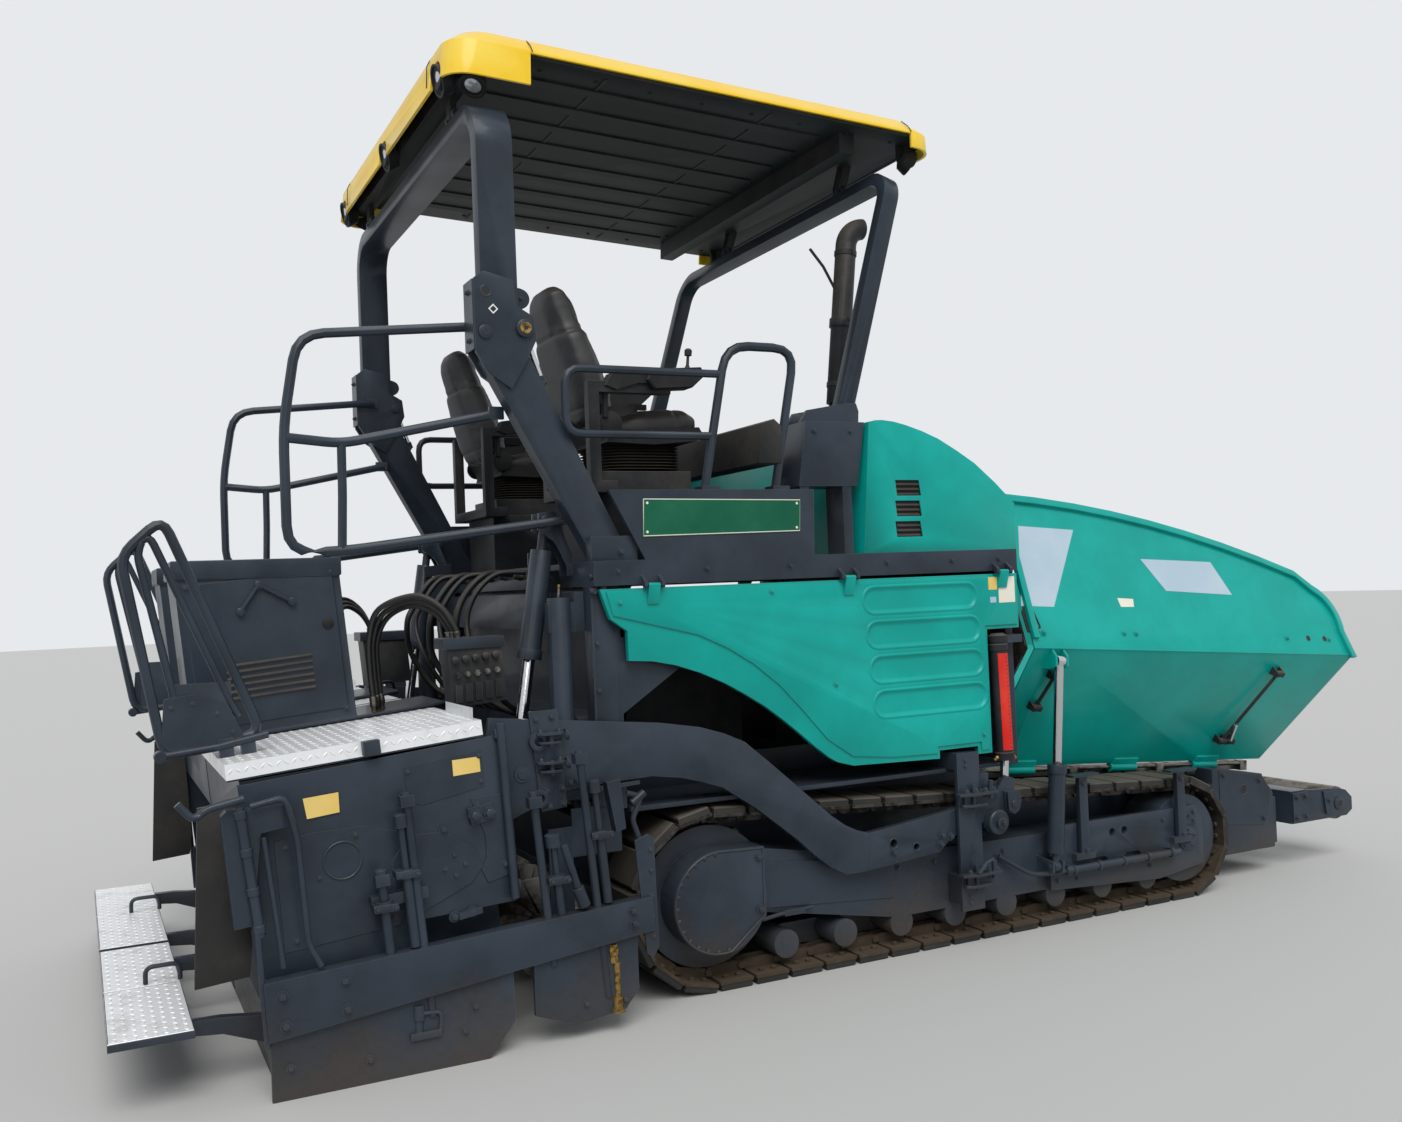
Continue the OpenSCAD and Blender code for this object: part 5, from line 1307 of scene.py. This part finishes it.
# %% [markdown]
# Beside the guide hangs the levelling cylinder: a red sleeve with a printed scale on a black barrel. Of the
# scale only plain tick marks are drawn.

# %% Levelling cylinders
GLAND = [(0, 0.042), (0.004, 0.046), (0.030, 0.046), (0.034, 0.043), (0.040, 0.043), (0.044, 0.046),
         (0.072, 0.046), (0.076, 0.036), (0.082, 0.030)]
TICKS, TICK_STEP = 23, 0.019
LEVEL_Y = 1245

for s, name in SIDES:
    level = Builder()
    foot, head = at(316, s * LEVEL_Y, 830), at(304, s * LEVEL_Y, 1400)
    up = (head - foot).normalized()
    level.turned(foot - up * 0.004, up, [(0, 0.030), (0.004, 0.045), (0.036, 0.045), (0.040, 0.042)], 32, 1)
    level.turned(foot + up * 0.036, up, [(0, 0.0408), (0.474, 0.0408)], 32, 1)
    # the printed scale is a curved strip that faces outwards
    sweep = [math.radians(a) for a in range(-44, 45, 8)]
    faces = ((0.0421, sweep), (0.0405, sweep[::-1]))
    strip = [Vector((math.sin(a) * r, s * math.cos(a) * r, 0)) for r, angles in faces for a in angles]
    level.rings([[foot + up * h + p for p in strip] for h in (0.046, 0.496)])
    level.turned(foot + up * 0.506, up, GLAND, 32, 1)
    level.rod(at(306, s * LEVEL_Y, 716), at(316, s * LEVEL_Y, 828), 0.0207, 20, 2)
    for k in range(TICKS):
        tick = foot + up * (0.058 + k * TICK_STEP) + Vector((0.004, s * 0.0412, 0))
        level.box(tick, tick + Vector((0.010 if k % 5 else 0.016, s * 0.0012, 0.0022)), 1, 0.0002)
    for dx in (-0.040, 0.040):
        level.turned(foot + Vector((dx, 0, 0.012)), (dx, 0, -0.02),
                     [(0, 0.012), (0.014, 0.012), (0.014, 0.008), (0.026, 0.008)], 6, 3)
    level.boss(at(306, s * 1232, 715), (0, s, 0), 0.036, 0.034, 24, 4)
    finishes = [signal_red, black_paint, chrome, worn_brass, grey_paint]
    level.piece("levelling_cylinder_" + name, finishes, "machine", 35)

# %% [markdown]
# The crawler frame shows its final drive under a D-shaped cover with a raised rim, and the idler yoke, step
# brackets and grease pipe at the front.

# %% Crawler frame details
# how far out the faces lie, and the middles of the sprocket and the idler
SIDE_FACE, YOKE_BACK, YOKE_FACE, HUB_FACE, STEP_FACE, COVER_FACE = 1170, 1200, 1206, 1208, 1236, 1245
drive, idler = [c / MM for c in SPROCKET], [c / MM for c in IDLER]

for s, name in SIDES:
    crawler = Builder()
    out = (0, s, 0)
    rim = arc(*drive, 209, 92, 281, 28)
    rim += [(-992, 305), (-992, 584), rim[0]]
    crawler.tube([at(x, s * 1246, z) for x, z in rim], 0.0045, 6)
    for x, z in arc(*drive, 200, 96, 278, 14):
        crawler.boss(at(x, s * COVER_FACE, z), out, 0.0075, 0.004, 6, 1, rim=0.001, drop=0.0015)
    crawler.bolts(s, COVER_FACE, ((-1014, 548), (-1012, 330)), 0.013)
    crawler.plate(s, SIDE_FACE, ((-980, 505), (-781, 492), (-288, 418), (-288, 262), (-980, 314)), 0.006)
    crawler.rod(at(-978, s * 1190, 268), at(-860, s * 1190, 282), 0.009)
    crawler.box(at(-870, s * 1178, 268), at(-770, s * 1200, 292))
    crawler.rod(at(-780, s * 1190, 284), at(-725, s * 1190, 288), 0.007)
    crawler.bolts(s, SIDE_FACE, [(x, 390) for x in (-260, -60, 340)], 0.010)
    # idler yoke with its hub, whose hole is a dark disc of painted shade
    crawler.boss(at(idler[0], s * YOKE_BACK, idler[1]), out, 0.060, 0.006, drop=0.004)
    painted_shade_hole(crawler, at(idler[0], s * HUB_FACE, idler[1]), out, 0.030)
    for k in range(5):
        spoke = ray(math.tau * k / 5 + 0.3) * 46
        crawler.bolt(at(idler[0] + spoke.x, s * HUB_FACE, idler[1] + spoke.z), out, 0.006)
    crawler.box(at(1455, s * YOKE_BACK, 380), at(1560, s * YOKE_FACE, 452))
    crawler.bolts(s, YOKE_FACE, ((1470, 396), (1545, 396), (1470, 440), (1545, 440)), 0.009)
    crawler.bolts(s, YOKE_BACK, ((640, 400), (640, 210), (760, 205), (1240, 205), (1340, 420)), 0.009)
    # the hole in the yoke, a dark disc of painted shade
    painted_shade_hole(crawler, at(1510, s * YOKE_FACE, 418), out, 0.014)
    # clamps of the low pipe and the bent pipe that feeds it
    for x in (700, 860, 1020, 1180, 1340):
        crawler.turned(at(x, s * 1240, 262), (1, 0, 0), [(0, 0.023), (0.016, 0.023)], 16)
        crawler.box(at(x + 3, s * 1202, 256), at(x + 13, s * 1240, 268))
    bend = ((668, 1236, 262), (600, 1238, 262), (520, 1246, 268), (440, 1240, 282), (360, 1215, 330),
            (300, 1190, 372))
    crawler.tube(smooth_path([at(x, s * y, z) for x, y, z in bend]), 0.011)
    for x, high in ((795, 700), (1440, 660)):
        crawler.bolts(s, STEP_FACE, ((x, 345), (x, high - 40)), 0.009)
        add_lozenges(crawler, at(x - 78, s * YOKE_FACE, high + 12), (1, 0, 0), (0, s, 0), 0.156, 0.05,
                     0.026, (0.010, 0.004))
    crawler.piece("crawler_frame_details_" + name, [grey_paint, black_paint], "machine", 35)

# %% [markdown]
# The side panels are pressed steel. Their long ribs have a soft shoulder that a sharp step can't show, so
# each rib gets a rolled border of its own. Plain labels and screws sit where the maker puts them.

# %% Side panel details
HOOD_FACE, WALL_FACE, BOARD_FACE, PANEL_FACE = 1225, 1245, 1248, 1253
LABEL_THICK = 1.2
RIB_LONG = 510
# radius of the border and how far out it stands
ROLLED_EDGE = ((68, 1253.1), (64, 1255.6), (60, 1256.6), (56, 1255.4), (51, 1250.2), (46, 1246.8),
               (40, 1245.5))

for s, name in SIDES:
    ribs = Builder()
    for k in range(4):
        z0, x0 = 1600 - k * 154, -380 + k * 12
        loops = []
        for radius, y in ROLLED_EDGE:
            oval = arc(x0 + RIB_LONG, z0, radius, -90, 90, 13) + arc(x0, z0, radius, 90, 270, 13)
            loops.append([at(x, s * y, z) for x, z in oval])
        ribs.rings(loops, caps=False)
    ribs.piece("panel_ribs_" + name, teal_paint, "side_panel_" + name, 70, "teal_paint")

    marks = Builder()
    for x0, z0, x1, z1, finish in ((258, 1622, 308, 1681, 0), (316, 1560, 412, 1681, 1),
                                   (265, 1562, 300, 1589, 2)):
        marks.box(at(x0, s * PANEL_FACE, z0), at(x1, s * (PANEL_FACE + LABEL_THICK), z1), finish, 0.0004)
    marks.bolts(s, PANEL_FACE, ((194, 958), (-598, 1245), (-1600, 1640), (-900, 1660)), 0.009, 3)
    finishes = [sign_yellow, sign_cream, decal_grey, teal_paint]
    marks.piece("panel_marks_" + name, finishes, "side_panel_" + name, 35)

    board = Builder()
    board.plate(s, WALL_FACE, ((-1480, 2060), (-735, 2052), (-742, 1912), (-1486, 1902)), 0.003, 0, 0.001)
    edge = [(-1476, 2056), (-739, 2048), (-746, 1916), (-1482, 1906), (-1476, 2056)]
    board.tube([at(x, s * BOARD_FACE, z) for x, z in edge], BEAD_THICK, 6, 1)
    for x, z in ((-1460, 2040), (-755, 2034), (-760, 1930), (-1464, 1922)):
        board.turned(at(x, s * BOARD_FACE, z), (0, s, 0), [(0, 0.006), (0.002, 0.005)], 12, 1)
    board.piece("blank_board_" + name, [plate_green, sign_cream], "machine", 35)

    vents = Builder()
    for k in range(3):
        z = 2135 - k * 93
        vents.box(at(-245, s * 1228, z - 82), at(-88, s * 1234, z + 6))
        for top in (z - 12, z - 34, z - 56):
            slat = ((1234, top), (1243, top - 9), (1243, top - 12), (1234, top - 3))
            vents.prism([at(-232, s * y, high) for y, high in slat], (0.128, 0, 0), 0, 0.0005)
    vents.bolts(s, HOOD_FACE, ((-640, 2352),), 0.010, 1)
    vents.bolts(s, HOOD_FACE, ((-452, 2352),), 0.008, 1)
    vents.bolts(s, WALL_FACE, [(x, 1765) for x in (-1600, -1200, -800, -300, 60, 330)], 0.009, 1)
    vents.piece("hood_vents_" + name, [black_plastic, grey_paint], "machine", 35)

# %% [markdown]
# The hopper wings fold along a crease, so a place on them is given by two lengths: along the hopper, and up
# from the crease or out from the hinge. The decals are blank panels of plain colour.

# %% Places on the wings
WING_LEAN = math.atan(0.4)
CREASE_Y, CREASE_V = 1262, 622
HINGE_Y, LOWER_OUT, LOWER_UP = 847, 0.5548, 0.8316
DECAL_THICK = 1.2


def wing_upper(s, u, d, proud=0.0):
    # d is the length up from the crease
    c, n = math.cos(WING_LEAN), math.sin(WING_LEAN)
    return at_hopper(u, s * (CREASE_Y - n * d + c * proud), CREASE_V + c * d + n * proud)


def wing_lower(s, u, d, proud=0.0):
    # d is the length out from the hinge
    return at_hopper(u, s * (HINGE_Y + LOWER_OUT * d + LOWER_UP * proud), LOWER_UP * d - LOWER_OUT * proud)


print("wing top", [round(c, 3) for c in wing_upper(1, 0, 649)])

# %% Wing decals
for s, name in SIDES:
    decals = Builder()
    step = wing_upper(s, 0, 0, DECAL_THICK) - wing_upper(s, 0, 0)
    for outline, finish in (([(117, 649), (474, 650), (211, 219), (6, 217)], 0),
                            ([(881, 510), (1390, 519), (1477, 331), (998, 335)], 0),
                            ([(642, 282), (749, 281), (740, 237), (651, 234)], 1)):
        decals.prism([wing_upper(s, u, d) for u, d in outline], step, finish, 0.0004)
    decals.piece("wing_decals_" + name, [decal_grey, sign_cream], "wing_" + name, 35)

# %% [markdown]
# Each wing also has its latch slot, bolts, drain holes and weld line, and stays that prop it from below.
# The open slot and the holes are drawn dark, as painted shade.

# %% Wing fittings and stays
LATCH = [(17, 212), (66, 214), (90, 111), (62, 100), (46, 167), (34, 90), (8, 84), (2, 186)]
# the slot's outline split in two, for the dark sheet of painted shade inside the slot
LATCH_SHADE_HALVES = [[(17, 212), (66, 214), (78, 162), (46, 167)],
                [(17, 212), (46, 167), (34, 90), (8, 84), (2, 186)]]
STAY_LUGS = ((1723, 644), (1583, 190), (1642, 190), (196, 610), (168, 423))
STAY_PROUD = 36

for s, name in SIDES:
    body = "wing_" + name
    fittings = Builder()
    step = wing_upper(s, 0, 0, 1) - wing_upper(s, 0, 0, 0)
    # the open latch slot: a dark rim and a dark sheet inside it, both painted shade
    for a, b in zip(LATCH, LATCH[1:] + LATCH[:1]):
        fittings.rod(wing_upper(s, *a, 1), wing_upper(s, *b, 1), 0.0045, 8, 1)
    for half in LATCH_SHADE_HALVES:
        fittings.prism([wing_upper(s, u, d, 0.2) for u, d in half], step * 0.8, 1, 0.0003)
    fittings.bolt(wing_upper(s, 99, 81), step, 0.013)
    for u in (620, 700, 1790, 2120):
        fittings.bolt(wing_upper(s, u, 90), step, 0.010)
    # drain holes, each a dark disc of painted shade
    for u in (1960, 2090):
        painted_shade_hole(fittings, wing_upper(s, u, 95), step, 0.018)
    # weld line along the crease
    fittings.tube([wing_upper(s, u, 4, 2) for u in range(20, 2251, 60)], 0.0045, 8)
    fittings.piece("wing_fittings_" + name, [teal_paint, black_plastic], body, 35, "teal_paint")

    stay = Builder()
    stay.rod(wing_lower(s, 1723, 644, 30), wing_lower(s, 1583, 190, 34), 0.009, 16)
    stay.rod(wing_lower(s, 1608, 309, 44), wing_lower(s, 1642, 190, 40), 0.011, 16, 1)
    stay.rod(wing_lower(s, 196, 610, 28), wing_lower(s, 168, 423, 28), 0.009, 14)
    along = wing_lower(s, 1, 0) - wing_lower(s, 0, 0)
    for u, d in STAY_LUGS:
        pin = wing_lower(s, u, d, STAY_PROUD)
        stay.turned(pin - along * 20, along, [(0, 0.015), (0.002, 0.018), (0.038, 0.018), (0.040, 0.015)], 18)
        for k in (-27, 21):
            lug = ((d - 24, 0), (d + 24, 0), (d + 13, 52), (d - 13, 52))
            stay.prism([wing_lower(s, u + k, dd, proud) for dd, proud in lug], along * 6)
        stay.bolt(pin + along * 27, along, 0.009)
    stay.piece("wing_stays_" + name, [black_paint, chrome], body, 35)

# %% [markdown]
# Link plates sit at the ends of the push bar and of the box behind it. The screed's control cabinets get a
# lid with its handles and prop, vent slats and a lock.

# %% Push box and cabinets
CABINET_FACE = 626
LID_ARM = ((228, 1652), (308, 1750), (428, 1668))

for s, name in SIDES:
    out = (0, s, 0)
    link_plate = Builder()
    link_plate.plate(s, 1030, ((1940, 588), (2262, 532), (2328, 452), (2306, 312), (2262, 262), (1940, 300)),
                     0.004, 0, 0.001)
    link_plate.bolts(s, 1034, ((1965, 560), (1965, 330), (2240, 505), (2262, 300)), 0.011)
    # the plate's hole, a dark disc of painted shade
    painted_shade_hole(link_plate, at(2120, s * 1034, 470), out, 0.026)
    link_plate.piece("push_box_plates_" + name, [grey_paint, black_paint], "machine", 35)

    bar = Builder()
    bar.plate(s, 1051, ((2470, 412), (2590, 412), (2590, 250), (2470, 250)), 0.012)
    bar.bolts(s, 1063, ((2494, 388), (2566, 388), (2494, 276), (2566, 276)), 0.012)
    bar.plate(s, 1050, ((2721, 398), (2800, 392), (2798, 268), (2743, 266)), 0.012)
    bar.bolt(at(2760, s * 1062, 343), out, 0.011)
    bar.boss(at(2860, s * 1050, 315), out, 0.040, 0.006, drop=0.004)
    # the hole in the boss, a dark disc of painted shade
    painted_shade_hole(bar, at(2860, s * 1058, 315), out, 0.020)
    bar.piece("push_bar_plates_" + name, [grey_paint, black_paint], "push_bar", 35)

    lid = Builder()
    lid.box(at_screed(-12, s * 238, 1806), at_screed(642, s * 632, 1824), 0, 0.006)
    for u in (90, 540):
        lid.rod(at_screed(u, s * 600, 1834), at_screed(u + 60, s * 600, 1834), 0.008)
        for k in (0, 60):
            lid.rod(at_screed(u + k, s * 600, 1822), at_screed(u + k, s * 600, 1836), 0.008)
    for (u0, v0), (u1, v1) in zip(LID_ARM, LID_ARM[1:]):
        lid.rod(at_screed(u0, s * 640, v0), at_screed(u1, s * 640, v1), 0.009)
    for u, v in LID_ARM:
        lid.boss(at_screed(u, s * CABINET_FACE, v), out, 0.016, 0.020, 16)
    for k in range(6):
        v = 1450 - k * 26
        slat = ((CABINET_FACE, v), (634, v - 8), (634, v - 12), (CABINET_FACE, v - 6))
        lid.prism([at_screed(150, s * y, high) for y, high in slat], SCREED_U * 0.33, 1, 0.0006)
    lid.boss(at_screed(560, s * CABINET_FACE, 1560), out, 0.022, 0.006, 20, 1, drop=0.004)
    corners = [(u, v) for u in (40, 590) for v in (1210, 1770)]
    lid.bolts(s, CABINET_FACE, corners, 0.008, place=at_screed)
    lid.piece("cabinet_lid_" + name, [grey_paint, black_plastic], "screed", 35)

# %% [markdown]
# Two bracket plates stand out of the rear wall on each side, and the screed's hydraulic box has a lid, plugs
# and ports.

# %% Rear brackets and hydraulic boxes
BOX_FACE = 896
PORT = [(0, 0.013), (0.012, 0.013), (0.012, 0.009), (0.026, 0.009)]

for s, name in SIDES:
    bracket = Builder()
    # long bracket and the plate below it
    bracket.plate(s, 868, ((-1850, 1860), (-1700, 1872), (-1700, 1812), (-1850, 1802)), 0.010)
    bracket.plate(s, 812, ((-1838, 1778), (-1700, 1786), (-1700, 1650), (-1790, 1640), (-1838, 1668)), 0.010)
    bracket.bolts(s, 878, ((-1826, 1832), (-1730, 1842)), 0.012)
    bracket.bolts(s, 822, ((-1815, 1755), (-1815, 1690), (-1735, 1755), (-1735, 1680)), 0.011)
    bracket.piece("rear_brackets_" + name, grey_paint, "machine", 35)

    box = Builder()
    # lid and side fittings of the screed's hydraulic box
    box.box(at_screed(948, s * 748, 1401), at_screed(1204, s * 907, 1424), 0, 0.002)
    for k in range(5):
        u = 990 + k * 42
        box.boss(at_screed(u, s * BOX_FACE, 1352), (0, s, 0), 0.015, 0.022, 14, 1)
        box.turned(at_screed(u, s * BOX_FACE, 1290), (0, s, 0), PORT, 6, 2)
        box.box(at_screed(u - 17, s * BOX_FACE, 1180), at_screed(u + 17, s * 902, 1248), 1)
    box.piece("hydraulic_box_details_" + name, [grey_paint, black_paint, worn_steel], "screed", 35)

# %% [markdown]
# Behind the rear wall hang the screed's hydraulic lines. They hold a wide bend because a hose of this size
# must not turn tighter than four times its own diameter. Each end is crimped into a steel union.

# %% Hose builder


def hose(name, points, diameter, body):
    route = smooth_path(points, 8)
    skin = Builder()
    skin.tube(route, diameter / 2, 12)
    ends = Builder()
    for a, b in ((route[0], route[2]), (route[-1], route[-3])):
        way = (b - a).normalized()
        nut = [(0, diameter * 0.62), (0.016, diameter * 0.62)]
        crimp = [(0, diameter * 0.5), (0.018, diameter * 0.5), (0.018, diameter * 0.66),
                 (0.055, diameter * 0.66), (0.059, diameter * 0.52)]
        ends.turned(a - way * 0.034, way, nut, 6, 1)
        ends.turned(a - way * 0.018, way, crimp, 16)
    line = skin.piece(name, hose_rubber, body, 50)
    unions = ends.piece(name + "_unions", [worn_steel, worn_brass], body, 35)


print("hose builder ready")

# %% [markdown]
# Three hoses loop from each hydraulic box to its cabinet, one lies low beside the box and one hangs at the
# column. Six service loops join the deck and the lower cross beam, and leave room for the screed to rise.

# %% Hoses
LOW_HOSE = ((965, 740, 1080), (1010, 738, 1076), (1062, 726, 1096), (1080, 700, 1140), (1062, 668, 1176),
            (1010, 650, 1180), (1004, 600, 1150))
COLUMN_HOSE = ((-1764, 1690), (-1772, 1600), (-1790, 1480), (-1800, 1360), (-1786, 1240), (-1764, 1170))

for s, name in SIDES:
    for k in range(3):
        y, end, back = 775 + k * 34, 500 + k * 38, 760 - k * 24
        loop = ((1010 + k * 8, y, 1425), (1006 + k * 8, y, 1480), (965 + k * 6, y - 16, 1548 + k * 12),
                (890, y - 70, 1590 + k * 20), (back + 50, y * 0.35 + end * 0.65, 1552 + k * 20),
                (back + 8, end + 30, 1460 + k * 8), (back, end + 6, 1340), (back, end, 1250),
                (back, end, 1190))
        route = [at_screed(u, s * out, v) for u, out, v in loop]
        hose("loop_hose_%d_%s" % (k + 1, name), route, 0.024, "screed")
    hose("low_hose_" + name, [at_screed(u, s * y, v) for u, y, v in LOW_HOSE], 0.014, "screed")
    hose("column_hose_" + name, [at(x, s * 1000, z) for x, z in COLUMN_HOSE], 0.014, "machine")

for k in range(6):
    y, drift = -575 + k * 230, 26 * (-1) ** k
    loop = ((-1704, 0, 1770), (-1770, 0, 1786), (-1890, drift, 1780), (-1990, drift, 1690 - 8 * k),
            (-2028, drift, 1560), (-2004, -drift, 1390 + 6 * k), (-1910, -drift, 1250), (-1810, 0, 1170),
            (-1742, 0, 1150))
    route = [at(x, y + dy, z) for x, dy, z in loop]
    hose("service_hose_%d" % (k + 1), route, 0.030 if k % 2 else 0.024, "machine")

# %% [markdown]
# The camera stands where the photographer stood, behind the machine's right corner at eye height. Its
# lens and aim were solved from points of known size, with a slight roll to the right.

# %% Camera
SENSOR, PHOTO_WIDTH, FOCAL_PIXELS = 36, 1402, 1268.75
CAMERA_PLACE = Vector((-3.2996, -5.9508, 1.6927))
YAW, PITCH, ROLL = 1.109455, 0.019965, -0.040421
lens_data = bpy.data.cameras.new("photo_camera")
lens_data.sensor_width = SENSOR
lens_data.lens = FOCAL_PIXELS / PHOTO_WIDTH * SENSOR
lens_data.clip_end = 200
camera = bpy.data.objects.new("photo_camera", lens_data)
bpy.context.scene.collection.objects.link(camera)
forward = Vector((math.cos(PITCH) * math.cos(YAW), math.cos(PITCH) * math.sin(YAW), math.sin(PITCH)))
right = Vector((math.sin(YAW), -math.cos(YAW), 0))
upward = right.cross(forward)
rolled_right = right * math.cos(ROLL) + upward * math.sin(ROLL)
rolled_up = upward * math.cos(ROLL) - right * math.sin(ROLL)
turn = Matrix((rolled_right, rolled_up, -forward)).transposed()
camera.matrix_world = Matrix.Translation(CAMERA_PLACE) @ turn.to_4x4()
bpy.context.scene.camera = camera
print("lens", round(lens_data.lens, 2), "mm")

# %% [markdown]
# Plain soft studio light stands in for an overcast sky: an even pale world, one large soft key from the sky
# side and a pale floor. What the camera and reflections see of the world is a plain light grey.

# %% Light and floor
world = bpy.data.worlds.new("studio")
bpy.context.scene.world = world
world.use_nodes = True
sky = world.node_tree
background = sky.nodes["Background"]
background.inputs["Color"].default_value = (0.93, 0.96, 1.0, 1)
background.inputs["Strength"].default_value = 0.62
seen = sky.nodes.new("ShaderNodeBackground")
seen.inputs["Color"].default_value = (0.80, 0.82, 0.845, 1)
seen.inputs["Strength"].default_value = 1.0
rays = sky.nodes.new("ShaderNodeLightPath")
plain = rays.outputs["Is Camera Ray"]
for ray_kind in ("Is Glossy Ray", "Is Transmission Ray"):
    plain = math_node(sky, "MAXIMUM", plain, rays.outputs[ray_kind])
blend = sky.nodes.new("ShaderNodeMixShader")
for k, part in enumerate((plain, background.outputs[0], seen.outputs[0])):
    feed(sky, blend.inputs[k], part)
feed(sky, sky.nodes["World Output"].inputs["Surface"], blend.outputs[0])

sun_data = bpy.data.lights.new("soft_key", "SUN")
sun_data.energy = 2.1
sun_data.angle = math.radians(40)
sun_data.color = (1.0, 0.985, 0.96)
sun = bpy.data.objects.new("soft_key", sun_data)
sun.rotation_euler = (math.radians(38), math.radians(-14), 0)
bpy.context.scene.collection.objects.link(sun)

floor_mesh = bpy.data.meshes.new("floor")
far = 60
floor_mesh.from_pydata([(-far, -far, 0), (far, -far, 0), (far, far, 0), (-far, far, 0)], [], [(0, 1, 2, 3)])
floor = bpy.data.objects.new("floor", floor_mesh)
bpy.context.scene.collection.objects.link(floor)
floor_finish, _, floor_shader = start_material("floor_finish")
floor_shader.inputs["Base Color"].default_value = (0.5, 0.5, 0.49, 1)
floor_shader.inputs["Roughness"].default_value = 0.85
floor_mesh.materials.append(floor_finish)
bpy.context.scene.view_settings.view_transform = "Standard"
